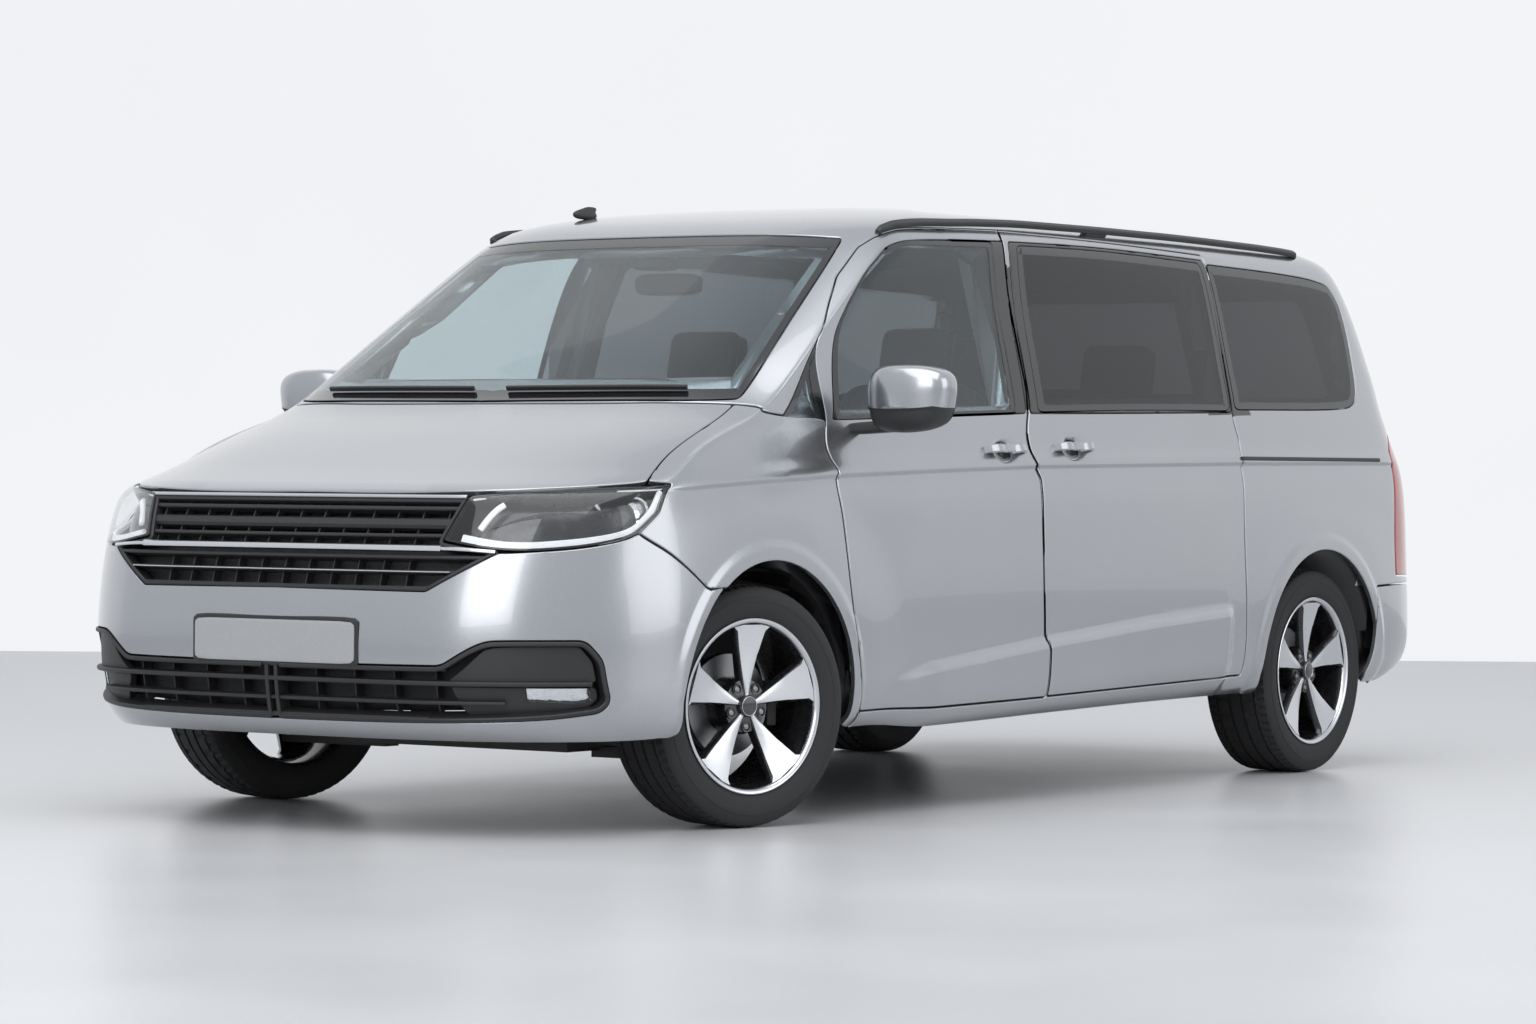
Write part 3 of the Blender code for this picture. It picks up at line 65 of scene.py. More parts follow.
class Socket:
    """A value or link of a material's nodes, on which sums can be written."""

    def __init__(self, tree, link):
        self.tree = tree
        self.link = link

    def node(self, kind, settings=None, out=0, **values):
        """A new node with its inputs set or linked: by name, or by number as i0, i1 and so on."""
        made = self.tree.nodes.new(kind)
        for key, value in (settings or {}).items():
            setattr(made, key, value)
        for key, value in values.items():
            target = made.inputs[int(key[1:])] if key[1:].isdigit() else made.inputs[key.replace("_", " ")]
            if isinstance(value, Socket):
                self.tree.links.new(value.link, target)
            else:
                target.default_value = value
        return Socket(self.tree, made.outputs[out])

    def maths(self, operation, *values):
        inputs = {f"i{n}": value for n, value in enumerate(values)}
        return self.node("ShaderNodeMath", {"operation": operation}, **inputs)

    def __add__(self, other):
        return self.maths("ADD", self, other)

    __radd__ = __add__

    def __mul__(self, other):
        return self.maths("MULTIPLY", self, other)

    __rmul__ = __mul__


def finish(name, colour, rough, metal=0.0, slot=None, **shader):
    """A material and its start: the Principled shader's sockets by name, and the object coordinates."""
    made = bpy.data.materials.new(name)
    made.use_nodes = True
    tree = made.node_tree
    principled = tree.nodes["Principled BSDF"]
    principled.inputs["Base Color"].default_value = (*colour, 1)
    principled.inputs["Roughness"].default_value = rough
    principled.inputs["Metallic"].default_value = metal
    for key, value in shader.items():
        principled.inputs[key.replace("_", " ")].default_value = value
    start = Socket(tree, None)
    place = start.node("ShaderNodeTexCoord", out="Object")
    return made, principled, place


def feed(made, principled, **links):
    """Links what varies over the surface to the shader's sockets, given by name."""
    for key, value in links.items():
        made.node_tree.links.new(value.link, principled.inputs[key.replace("_", " ")])


def noise(place, scale, detail):
    return place.node("ShaderNodeTexNoise", Vector=place, Scale=scale, Detail=detail)


def between(place, factor, low, high):
    """A colour between two, by a factor that varies over the surface."""
    return place.node("ShaderNodeMix", {"data_type": "RGBA"}, out=2, i0=factor, i6=(*low, 1), i7=(*high, 1))


def bumped(place, height, strength, distance):
    return place.node("ShaderNodeBump", Height=height, Strength=strength, Distance=distance)


def varied(name, colour, rough, metal, slot, grain, low, high, rough_by=None, relief=None, **shader):
    """A finish whose colour varies with a noise of a given grain, and so do its roughness and relief where
    they are given: the roughness as start and reach, the relief as strength and distance."""
    made, principled, place = finish(name, colour, rough, metal, slot, **shader)
    wave = noise(place, *grain)
    links = {"Base_Color": between(place, wave, low, high)}
    if rough_by:
        links["Roughness"] = rough_by[0] + wave * rough_by[1]
    if relief:
        links["Normal"] = bumped(place, wave, *relief)
    feed(made, principled, **links)
    return made


wall_away, wall_height, wall_half, floor_half = 24.6, 14, 30, 60
ahead = Vector((forward.x, forward.y, 0)).normalized()
hall_centre = Vector((*camera_spot[:2], 0)) + wall_away * ahead
floor_finish, floor_shader, place = finish("polished screed", (.55, .555, .565), .30)
cloud = noise(place, .9, 6)
speck = noise(place, 60, 4)
feed(floor_finish, floor_shader, Roughness=.24 + cloud * .14,
     Base_Color=between(place, cloud * .7 + speck * .3, (.46, .465, .475), (.62, .625, .635)))
wall_finish, wall_shader, place = finish("pale plaster", (.80, .81, .83), .9)
cloud = noise(place, .25, 4)
feed(wall_finish, wall_shader, Base_Color=between(place, cloud, (.76, .77, .79), (.86, .87, .88)))
rays = [place.node("ShaderNodeLightPath", out=name)
        for name in ("Is Camera Ray", "Is Glossy Ray", "Is Transmission Ray")]
glow = place.node("ShaderNodeEmission", out="Emission", Strength=1.0,
                  Color=between(place, cloud, (.84, .86, .89), (.92, .93, .95)))
mixer = wall_finish.node_tree.nodes.new("ShaderNodeMixShader")
links = wall_finish.node_tree.links
links.new((rays[0] + rays[1] + rays[2]).link, mixer.inputs[0])
links.new(wall_shader.outputs[0], mixer.inputs[1])
links.new(glow.link, mixer.inputs[2])
# From behind, the wall is clear, so that the van shows from every side.
far_side = wall_finish.node_tree.nodes.new("ShaderNodeMixShader")
links.new(place.node("ShaderNodeNewGeometry", out="Backfacing").link, far_side.inputs[0])
links.new(mixer.outputs[0], far_side.inputs[1])
links.new(wall_finish.node_tree.nodes.new("ShaderNodeBsdfTransparent").outputs[0], far_side.inputs[2])
links.new(far_side.outputs[0], wall_finish.node_tree.nodes["Material Output"].inputs["Surface"])
floor_corners = [hall_centre + level_right * x + ahead * y
                 for x, y in ((-floor_half, -90), (floor_half, -90), (floor_half, 60), (-floor_half, 60))]
wall_corners = [hall_centre + level_right * x + Vector((0, 0, z)) for x, z in (
    (-wall_half, 0), (wall_half, 0), (wall_half, wall_height), (-wall_half, wall_height))]
for name, look, corners in (
        ("hall_floor", floor_finish, floor_corners), ("hall_wall", wall_finish, wall_corners)):
    mesh = bpy.data.meshes.new(name)
    mesh.from_pydata(corners, [], [(0, 1, 2, 3)])
    stage = bpy.data.objects.new(name, mesh)
    scene.collection.objects.link(stage)
    mesh.materials.append(look)
world = bpy.data.worlds.new("hall light")
world.use_nodes = True
world.node_tree.nodes["Background"].inputs["Color"].default_value = (.86, .89, .94, 1)
world.node_tree.nodes["Background"].inputs["Strength"].default_value = .85
scene.world = world
for name, size, energy, spot, aim in (("over_lamp", 9, 420, (1.5, -3.0, 7.5), (0, 0, .6)),
                                      ("front_lamp", 6, 260, (3.0, -10.5, 4.5), (0, -1.5, .8)),
                                      ("side_lamp", 7, 200, (10.0, 2.5, 4.0), (0, .5, .9))):
    lamp = bpy.data.lights.new(name, "AREA")
    lamp.size = size
    lamp.energy = energy
    holder = bpy.data.objects.new(name, lamp)
    scene.collection.objects.link(holder)
    holder.location = spot
    holder.rotation_euler = (Vector(aim) - Vector(spot)).to_track_quat("-Z", "Y").to_euler()

# The pressed body skin: sheet steel drawn over one smooth form. The form runs through levels, from the
# lower edge to the roof, each going round from the front middle past the left side to the rear middle.
half_length, half_width, roof_height = 2.475, 0.965, 1.785
levels = (
    (.134, .134, .137, .154, .168, -.962, 1, .933, .938, .933, -.752, .796, .949),
    (.16, .16, .162, .176, .193, -.986, 1, .969, .974, .964, -.743, .808, .986),
    (.207, .207, .21, .221, .227, -.996, 1.1, .982, .99, .981, -.743, .816, 1),
    (.28, .28, .28, .28, .28, -1, 1.1, .99, .998, .99, -.743, .816, .996),
    (.359, .359, .359, .359, .359, -.994, 1.1, .988, 1, .992, -.743, .816, .988),
    (.431, .431, .437, .443, .443, -.976, 1.2, .977, .997, .988, -.739, .816, .986),
    (.482, .48, .489, .504, .504, -.956, 1.3, .966, .993, .982, -.731, .816, .983),
    (.511, .51, .524, .552, .555, -.937, 1.3, .95, .984, .972, -.719, .816, .974),
    (.533, .536, .555, .594, .599, -.889, 1.1, .931, .966, .951, -.695, .812, .962),
    (.566, .567, .583, .63, .639, -.82, 1, .916, .951, .936, -.659, .808, .949),
    (.608, .605, .608, .661, .672, -.731, .9, .906, .941, .922, -.606, .804, .941),
    (.649, .647, .639, .695, .711, -.642, .9, .893, .928, .908, -.541, .8, .935),
    (.723, .716, .709, .745, .765, -.556, 1, .868, .904, .883, -.461, .792, .927),
    (.801, .794, .787, .807, .824, -.465, 1.1, .835, .87, .852, -.376, .784, .917),
    (.877, .871, .866, .874, .885, -.376, 1.2, .801, .834, .817, -.291, .768, .902),
    (.93, .925, .92, .922, .927, -.313, 1.3, .767, .803, .784, -.226, .747, .883),
    (.959, .956, .951, .95, .951, -.259, 1.2, .717, .756, .736, -.174, .711, .84),
    (.982, .979, .976, .974, .972, -.154, 1, .596, .632, .611, -.081, .614, .743),
    (.995, .993, .99, .988, .986, -.004, 1, .342, .363, .342, .048, .485, .598),
    (1, 1, .999, .997, .995, .113, 1, 0, 0, 0, .141, .364, .436),
)
face_shares = ((0, 0), (.36, .025), (.68, .14), (.90, .45), (.98, .73))
side_shares = (0, .16, .34, .52, .70, .86, 1)


def level_points(level):
    """The left half of one level's control points, as shares of the van's half width, length and height."""
    front, corner, side, side_rear, rear, nose, square, wide, middle, tail, start, end, back = level
    points = []
    for x, b in face_shares:
        b = b ** square
        first = min(b / .45, 1)
        second = max(b - .45, 0) / .55
        height = front + (corner - front) * first + (side - corner) * second
        points.append((wide * x, nose + (start - nose) * b, height))
    for s in side_shares:
        width = middle + ((wide if s < .5 else tail) - middle) * (1 - 2 * s) ** 2
        points.append((width, start + (end - start) * s, side + (side_rear - side) * s))
    for x, b in reversed(face_shares):
        points.append((tail * x, back + (end - back) * b ** 2, rear + (side_rear - rear) * b ** 2))
    return points


def spline_parts(f):
    """The four weights of a smooth curve between control points."""
    return ((1 - f) ** 3 / 6, (3 * f ** 3 - 6 * f ** 2 + 4) / 6,
            (-3 * f ** 3 + 3 * f ** 2 + 3 * f + 1) / 6, f ** 3 / 6)


def form(around, up, rings):
    """Points of the smooth form at parameters round the van and up it."""
    whole = np.concatenate([2 * rings[:1] - rings[1:2], rings, 2 * rings[-1:] - rings[-2:-1]])
    column = np.floor(around).astype(int)
    row = np.clip(np.floor(up).astype(int), 0, len(rings) - 2)
    made = 0
    for i, part_up in enumerate(spline_parts(up - row)):
        for j, part_round in enumerate(spline_parts(around - column)):
            made = made + (part_up * part_round)[:, None] * whole[row + i, (column - 1 + j) % rings.shape[1]]
    return made


def fitted_rings():
    """Control rings moved until the smooth form runs through the levels' points."""
    left = np.array([level_points(level) for level in levels]) * (half_width, half_length, roof_height)
    target = np.concatenate([left, left[:, -2:0:-1] * (-1, 1, 1)], axis=1)
    rows, columns = (grid.ravel().astype(float) for grid in np.indices(target.shape[:2]))
    made = target.copy()
    for _ in range(4):
        made = made + target - form(columns, rows, made).reshape(target.shape)
    return made


form_rings = fitted_rings()
top_row, rear_middle, whole_turn = 19.0, 16.0, 32.0
shoulder_line = np.array(((-2.1, .915), (-1.84, .926), (-1.53, .943), (-1.15, .961), (-.65, .977),
                          (-.11, .991), (1.1, 1.006), (2.2, 1.012)))
swoosh_line = np.array(((-1.0, .385), (-.94, .396), (-.73, .433), (-.14, .487), (.5, .535), (.96, .560),
                        (1.15, .566)))
front_axle, rear_axle, axle_height = -1.517, 1.603, .330


def ease(value):
    """A soft step from 0 to 1."""
    value = np.clip(value, 0, 1)
    return value * value * (3 - 2 * value)


handle_scoops, scoop_long, scoop_high = ((-.292, 1.030), (.0916, 1.040)), .064, .044


def relief(points):
    """How far the pressed skin stands proud of the smooth form: shoulder line, lower crease and arches,
    less the hollows behind the handles."""
    x, y, z = np.abs(points[:, 0]), points[:, 1], points[:, 2]
    side = ease((x - .80) / .08)
    above = z - np.interp(y, shoulder_line[:, 0], shoulder_line[:, 1])
    beneath = ease(1 + above / .012) - .9 * ease(-above / .012) * ease(1 + above / .12)
    ridge = np.where(above > 0, ease(1 - above / .050), beneath)
    height = .006 * ridge * side * ease((y + 2.02) / .25) * ease((2.25 - y) / .2)
    under = np.interp(y, swoosh_line[:, 0], swoosh_line[:, 1]) - z
    lower = ease(under / .040) * ease((.30 - under) / .14)
    height += .022 * lower * side * ease((y + .98) / .30) * ease((1.02 - y) / .06)
    for axle in (front_axle, rear_axle):
        away = np.hypot(y - axle, z - axle_height)
        flare = ease((.458 - away) / .034) * ease((z - .20) / .1)
        bulge = ease((.70 - away) / .26) * ease((z - .25) / .15) * ease((shoulder_line[0, 1] + .02 - z) / .12)
        height += (.007 * flare + .010 * bulge) * side
    for middle, level in handle_scoops:
        away = np.hypot((y - middle) / scoop_long, (z - level) / scoop_high)
        height -= .011 * ease((1 - away) / .60) * ease((x - .80) / .05)
    return height


def skin(around, up, sunk=0.0):
    """Points and outward normals of the pressed skin, or of a layer sunk beneath it."""
    around, up = np.asarray(around, float), np.asarray(up, float)

    def plain(a, u):
        u = np.clip(u, 0, top_row)
        step = .02
        here = form(a, u, form_rings)
        along = form(a + step, u, form_rings) - form(a - step, u, form_rings)
        above, below = np.minimum(u + step, top_row), np.maximum(u - step, 0)
        rise = form(a, above, form_rings) - form(a, below, form_rings)
        normal = np.cross(along, rise)
        length = np.linalg.norm(normal, axis=1, keepdims=True)
        normal = np.where(length < 1e-9, (0, 0, 1), normal / np.maximum(length, 1e-9))
        return here + normal * relief(here)[:, None], normal

    here, normal = plain(around, up)
    step = .012
    along = plain(around + step, up)[0] - plain(around - step, up)[0]
    rise = plain(around, np.minimum(up + step, top_row))[0] - plain(around, np.maximum(up - step, 0))[0]
    fine = np.cross(along, rise)
    length = np.linalg.norm(fine, axis=1, keepdims=True)
    normal = np.where(length < 1e-9, normal, fine / np.maximum(length, 1e-9))
    return here - normal * sunk, normal


search_rows = np.linspace(0, top_row, 153)
search_columns = np.linspace(0, whole_turn, 257)[:-1]
row_grid, column_grid = np.meshgrid(search_rows, search_columns, indexing="ij")
search_points = form(column_grid.ravel(), row_grid.ravel(), form_rings)
count = len(search_columns)
search_faces = [(r * count + c, r * count + (c + 1) % count, (r + 1) * count + (c + 1) % count,
                 (r + 1) * count + c) for r in range(len(search_rows) - 1) for c in range(count)]
search_tree = BVHTree.FromPolygons([tuple(p) for p in search_points], search_faces)
views = {"side": (Vector((-1, 0, 0)), (1, 2), 4.05), "front": (Vector((0, 1, 0)), (0, 2), 2.7),
         "back": (Vector((0, -1, 0)), (0, 2), 2.6)}


def cell_middle(face):
    """The skin parameters in the middle of one face of the search tree."""
    row, column = divmod(face, count)
    return (column + .5) * whole_turn / count, (row + .5) * top_row / (len(search_rows) - 1)


def on_skin(points, view):
    """Parameters of the skin where a view's lines through the outline's points meet it."""
    direction, axes, reach = views[view]
    goal = np.array(points, float)
    start = []
    for a, b in points:
        origin = [0.0, 0.0, 0.0]
        origin[axes[0]], origin[axes[1]] = a, b
        origin = Vector(origin) - direction * 5
        hit = search_tree.ray_cast(origin, direction)
        if hit[2] is None:
            hit = search_tree.find_nearest(origin + direction * reach)
        start.append(cell_middle(hit[2]))
    found = np.array(start)
    for _ in range(5):
        here = form(found[:, 0], found[:, 1], form_rings)[:, axes]
        right = (form(found[:, 0] + .01, found[:, 1], form_rings)[:, axes] - here) / .01
        rise = (form(found[:, 0], np.minimum(found[:, 1] + .01, top_row), form_rings)[:, axes] - here) / .01
        miss = goal - here
        area = right[:, 0] * rise[:, 1] - right[:, 1] * rise[:, 0]
        area = np.where(np.abs(area) < 1e-6, 1e-6, area)
        move = np.stack([(miss[:, 0] * rise[:, 1] - miss[:, 1] * rise[:, 0]) / area,
                         (right[:, 0] * miss[:, 1] - right[:, 1] * miss[:, 0]) / area], axis=1)
        found = found + np.clip(move, -.12, .12)
        found[:, 1] = np.clip(found[:, 1], 0, top_row)
    return found


def lengths(around, up):
    """The length so far at each place of a line on the form."""
    steps = np.diff(form(around, up, form_rings), axis=0)
    return np.concatenate([[0], np.cumsum(np.linalg.norm(steps, axis=1))])


round_steps, up_steps = np.linspace(0, rear_middle, 161), np.linspace(0, top_row, 191)
column_scale = lengths(round_steps, np.full(len(round_steps), 6.0))
row_scale = lengths(np.full(len(up_steps), 8.0), up_steps)


def softened(points, radius=.03, step=.018, closed=True):
    """An outline's corners rounded and its length divided into short steps."""
    corners = [Vector(p) for p in points]
    count = len(corners)
    path = []
    for index, here in enumerate(corners):
        if not closed and index in (0, count - 1):
            path.append(here)
            continue
        before, after = corners[index - 1], corners[(index + 1) % count]
        if abs(here.x) < 1e-6 or abs(here.x - column_scale[-1]) < 1e-6 or abs(here.y - row_scale[-1]) < 1e-6:
            path.append(here)
            continue
        turning = (here - before).angle(after - here, 0)
        reach = 10 if turning < .45 else radius
        first = here + (before - here) * min(.5, reach / max((before - here).length, 1e-6))
        last = here + (after - here) * min(.5, reach / max((after - here).length, 1e-6))
        for s in np.linspace(0, 1, 7):
            path.append(first * (1 - s) ** 2 + here * 2 * s * (1 - s) + last * s ** 2)
    made = []
    pairs = zip(path, path[1:] + path[:1]) if closed else zip(path, path[1:])
    for a, b in pairs:
        parts = max(1, math.ceil((b - a).length / step))
        if (b - a).length > 1e-5:
            made += [a.lerp(b, k / parts) for k in range(parts)]
    if not closed:
        made.append(path[-1])
    return [tuple(p) for p in made]


def flatten(places):
    """Skin parameters as lengths on a flat sheet, past the middle lines too, where it is mirrored."""
    around = places[:, 0]
    turns = np.floor(around / rear_middle)
    rest = around - turns * rear_middle
    folded = np.where(turns % 2 == 0, rest, rear_middle - rest)
    length = np.interp(folded, round_steps, column_scale)
    whole = column_scale[-1]
    flat = turns * whole + np.where(turns % 2 == 0, length, whole - length)
    return np.stack([flat, np.interp(places[:, 1], up_steps, row_scale)], axis=1)


def unflatten(flat):
    """Lengths on the flat sheet back as skin parameters."""
    whole = column_scale[-1]
    turns = np.floor(flat[:, 0] / whole)
    rest = flat[:, 0] - turns * whole
    folded = np.where(turns % 2 == 0, rest, whole - rest)
    around = np.interp(folded, column_scale, round_steps)
    around = turns * rear_middle + np.where(turns % 2 == 0, around, rear_middle - around)
    return np.stack([around, np.interp(flat[:, 1], row_scale, up_steps)], axis=1)


def within(points, polygon):
    """Which points lie inside a polygon."""
    ax, ay = polygon[:, 0][None], polygon[:, 1][None]
    bx, by = np.roll(ax, -1, axis=1), np.roll(ay, -1, axis=1)
    rise = np.where(np.abs(by - ay) < 1e-12, 1e-12, by - ay)
    found = np.zeros(len(points), bool)
    for start in range(0, len(points), 3000):
        x, y = points[start:start + 3000, 0][:, None], points[start:start + 3000, 1][:, None]
        crosses = (ay > y) != (by > y)
        at = ax + (y - ay) * (bx - ax) / rise
        found[start:start + 3000] = (crosses & (x < at)).sum(axis=1) % 2 == 1
    return found


def near(points, polygon, distance):
    """Which points lie closer to a polygon's edge than a distance."""
    low, high = polygon.min(0) - distance, polygon.max(0) + distance
    found = np.zeros(len(points), bool)
    a = polygon[None]
    b = np.roll(polygon, -1, axis=0)[None]
    for start in range(0, len(points), 3000):
        block = points[start:start + 3000]
        asked = np.where(((block > low) & (block < high)).all(1))[0]
        if not len(asked):
            continue
        p = block[asked][:, None]
        t = np.clip(((p - a) * (b - a)).sum(2) / np.maximum(((b - a) ** 2).sum(2), 1e-12), 0, 1)
        found[start + asked] = np.linalg.norm(p - a - t[..., None] * (b - a), axis=2).min(axis=1) < distance
    return found


def moved_out(polygon, distance):
    """A flat outline moved outwards, or inwards when the distance is negative."""
    ahead = np.roll(polygon, -1, axis=0) - polygon
    ahead /= np.maximum(np.linalg.norm(ahead, axis=1, keepdims=True), 1e-9)
    behind = np.roll(ahead, 1, axis=0)
    area = (polygon[:, 0] * np.roll(polygon[:, 1], -1) - polygon[:, 1] * np.roll(polygon[:, 0], -1)).sum()
    normal = ahead + behind
    normal = np.stack([normal[:, 1], -normal[:, 0]], axis=1) * (1 if area > 0 else -1)
    normal /= np.maximum(np.linalg.norm(normal, axis=1, keepdims=True), 1e-9)
    return polygon + normal * distance


def held(polygon, moved, past):
    """A moved outline with its points on the van's middle line put back there, or a little past it."""
    made = moved.copy()
    for axis, value, way in ((0, 0, -1), (0, column_scale[-1], 1), (1, row_scale[-1], 1), (1, 0, -1)):
        here = np.abs(polygon[:, axis] - value) < 1e-6
        if axis == 1 and value == 0 and not past:
            continue
        made[here, axis] = value + way * past
    return made


def add_piece(name, points, faces, looks, body, replaces=(), normals=None, marks=None):
    """An object at the origin from points and faces, riding on its body."""
    mesh = bpy.data.meshes.new(name)
    mesh.from_pydata([tuple(p) for p in points], [], faces)
    for look in looks:
        mesh.materials.append(look)
    if marks is not None:
        mesh.polygons.foreach_set("material_index", marks)
    mesh.polygons.foreach_set("use_smooth", [True] * len(faces))
    if normals is not None:
        mesh.normals_split_custom_set(normals)
    else:
        mesh.set_sharp_from_angle(angle=math.radians(32))
    piece = bpy.data.objects.new(name, mesh)
    scene.collection.objects.link(piece)
    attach(piece, body)
    if replaces:
        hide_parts(*replaces)
    return piece


def only_used(points, faces):
    """Points and faces without the points that no face uses."""
    kept = np.unique(np.concatenate([np.array(f) for f in faces]))
    renumber = dict(zip(kept.tolist(), range(len(kept))))
    return points[kept], [tuple(renumber[k] for k in f) for f in faces]


def turned_inside(faces, corner_normals):
    """Faces and their corners' normals as the mirror image has them."""
    turned, normals, start = [], [], 0
    for face in faces:
        turned.append(tuple(reversed(face)))
        normals += [corner_normals[start + k] * (-1, 1, 1) for k in reversed(range(len(face)))]
        start += len(face)
    return turned, np.array(normals)


def pressed(name, inside, outside, looks, body, step=.035, roll=.004, thick=.016, lift=0.0, gap=0.0,
            mirror=False, seam=False, replaces=(), inner_look=0, border=0.0, lines=()):
    """A sheet of the skin inside some flat outlines and outside others, its edges rolled in. A seam welds
    the left half to its mirror image in the middle, and mirror makes the right-hand piece too. A border
    gives the rim the second finish, and along lines the mesh gets edges, for crisp creases."""

    def shifted(outlines, distance, past):
        moved = [moved_out(o, distance) for o in outlines]
        return [held(o, m, past) for o, m in zip(outlines, moved)] if seam else moved

    def in_sheet(places):
        found = np.any([within(places, o) for o in inside], axis=0)
        for o in outside:
            found &= ~within(places, o)
        return found

    inside, outside = shifted(inside, -gap, 0), shifted(outside, gap, .05)
    rings = shifted(inside, -border, .05) if border else []
    low = np.min([o.min(0) for o in inside], axis=0)
    high = np.max([o.max(0) for o in inside], axis=0)
    columns = np.arange(low[0] + step / 2, high[0], step)
    rows = np.arange(low[1] + step / 2, high[1], step)
    grid = np.stack(np.meshgrid(columns, rows), axis=2)
    grid[::2, :, 0] += step / 2
    grid = grid.reshape(-1, 2)
    grid = grid[in_sheet(grid)]
    for o in inside + outside + rings:
        if len(grid):
            grid = grid[~near(grid, o, step * .42)]
    points, edges = [], []
    for o in inside + outside + rings:
        first = len(points)
        points += [tuple(p) for p in o]
        edges += [(first + k, first + (k + 1) % len(o)) for k in range(len(o))]
    for o in lines:
        if len(grid):
            grid = grid[~near(grid, o, step * .3)]
        first = len(points)
        points += [tuple(p) for p in o]
        edges += [(first + k, first + k + 1) for k in range(len(o) - 1)]
    points += [tuple(p) for p in grid]
    flat, _, faces, _, _, _ = delaunay_2d_cdt([Vector(p) for p in points], edges, [], 0, 1e-5)
    flat = np.array([tuple(p) for p in flat])
    faces = np.array([f for f in faces if len(f) == 3])
    faces = faces[in_sheet(flat[faces].mean(axis=1))]
    a, b, c = (flat[faces[:, k]] for k in range(3))
    turning = (b[:, 0] - a[:, 0]) * (c[:, 1] - a[:, 1]) - (b[:, 1] - a[:, 1]) * (c[:, 0] - a[:, 0])
    faces = faces[np.abs(turning) > 1e-10]
    turning = turning[np.abs(turning) > 1e-10]
    faces[turning < 0] = faces[turning < 0][:, ::-1]
    edge_zone = np.full(len(faces), bool(border))
    for o in rings:
        edge_zone &= ~within(flat[faces].mean(axis=1), o)
    used, index = np.unique(faces, return_inverse=True)
    faces = index.reshape(faces.shape)
    places = unflatten(flat[used])
    top, normal = skin(places[:, 0], places[:, 1], -lift)
    sides = {(int(face[k]), int(face[(k + 1) % 3])): True for face in faces for k in range(3)}
    rim = [(a, b) for a, b in sides if (b, a) not in sides]
    whole = column_scale[-1]
    sheet = flat[used]

    def on_seam(a, b):
        if not seam:
            return False
        for value in (0, whole):
            if abs(sheet[a, 0] - value) < 1e-4 and abs(sheet[b, 0] - value) < 1e-4:
                return True
        return abs(sheet[a, 1] - row_scale[-1]) < 1e-4 and abs(sheet[b, 1] - row_scale[-1]) < 1e-4

    inward = np.zeros_like(top)
    rolled = []
    seam_points = set()
    for a, b in rim:
        if on_seam(a, b):
            seam_points.update((a, b))
            continue
        rolled.append((a, b))
        along = top[b] - top[a]
        for k in (a, b):
            way = np.cross(normal[k], along)
            inward[k] += way / max(np.linalg.norm(way), 1e-9)
    for k in seam_points:
        inward[k, 0] = 0
        top[k, 0] = 0
        normal[k, 0] = 0
    length = np.linalg.norm(inward, axis=1, keepdims=True)
    inward = np.where(length > 1e-9, inward / np.maximum(length, 1e-9), 0)
    rows = []
    for angle in np.radians((0, 30, 60, 90)):
        at = top + inward * roll * (1 - math.sin(angle)) - normal * roll * (1 - math.cos(angle))
        rows.append((at, normal * math.cos(angle) - inward * math.sin(angle)))
    below = top + inward * roll * .2 - normal * thick
    size = len(top)
    points = np.concatenate([row[0] for row in rows] + [below])
    made, marks, corner_normals = [], [], []
    for face, zone in zip(faces, edge_zone):
        made.append(tuple(int(k) for k in face))
        marks.append(int(zone))
        corner_normals += [rows[0][1][k] for k in face]
    for face, zone in zip(faces, edge_zone):
        made.append(tuple(int(k) + size * 4 for k in face[::-1]))
        marks.append(int(zone) or inner_look)
        corner_normals += [-normal[k] for k in face[::-1]]
    for a, b in rolled:
        for level in range(3):
            made.append((a + size * level, a + size * (level + 1), b + size * (level + 1), b + size * level))
            marks.append(1 if border else 0)
            corners = ((level, a), (level + 1, a), (level + 1, b), (level, b))
            corner_normals += [rows[r][1][k] for r, k in corners]
        made.append((a + size * 3, a + size * 4, b + size * 4, b + size * 3))
        marks.append(1 if border else 0)
        corner_normals += [-inward[a], -inward[a], -inward[b], -inward[b]]
    points, made = only_used(points, made)
    corner_normals = np.array(corner_normals)
    if seam:
        other = points * (-1, 1, 1)
        first = len(points)
        points = np.concatenate([points, other])
        extra, extra_normals = turned_inside(made, corner_normals)
        extra = [tuple(first + k for k in f) for f in extra]
        middle = np.abs(points[:, 0]) < 1e-7
        join = np.arange(len(points))
        join[first:][middle[first:]] = np.arange(first)[middle[first:]]
        made = made + [tuple(int(join[k]) for k in f) for f in extra]
        points, made = only_used(points, made)
        corner_normals = np.concatenate([corner_normals, extra_normals])
        marks = marks + marks
    ends = ("_left", "_right") if mirror else ("", "")
    add_piece(name + ends[0], points, made, looks, body.replace("LEFT", "left"),
              [r + ends[0] for r in replaces], corner_normals, marks)
    if mirror:
        turned, turned_normals = turned_inside(made, corner_normals)
        add_piece(name + ends[1], points * (-1, 1, 1), turned, looks, body.replace("LEFT", "right"),
                  [r + ends[1] for r in replaces], turned_normals, marks)


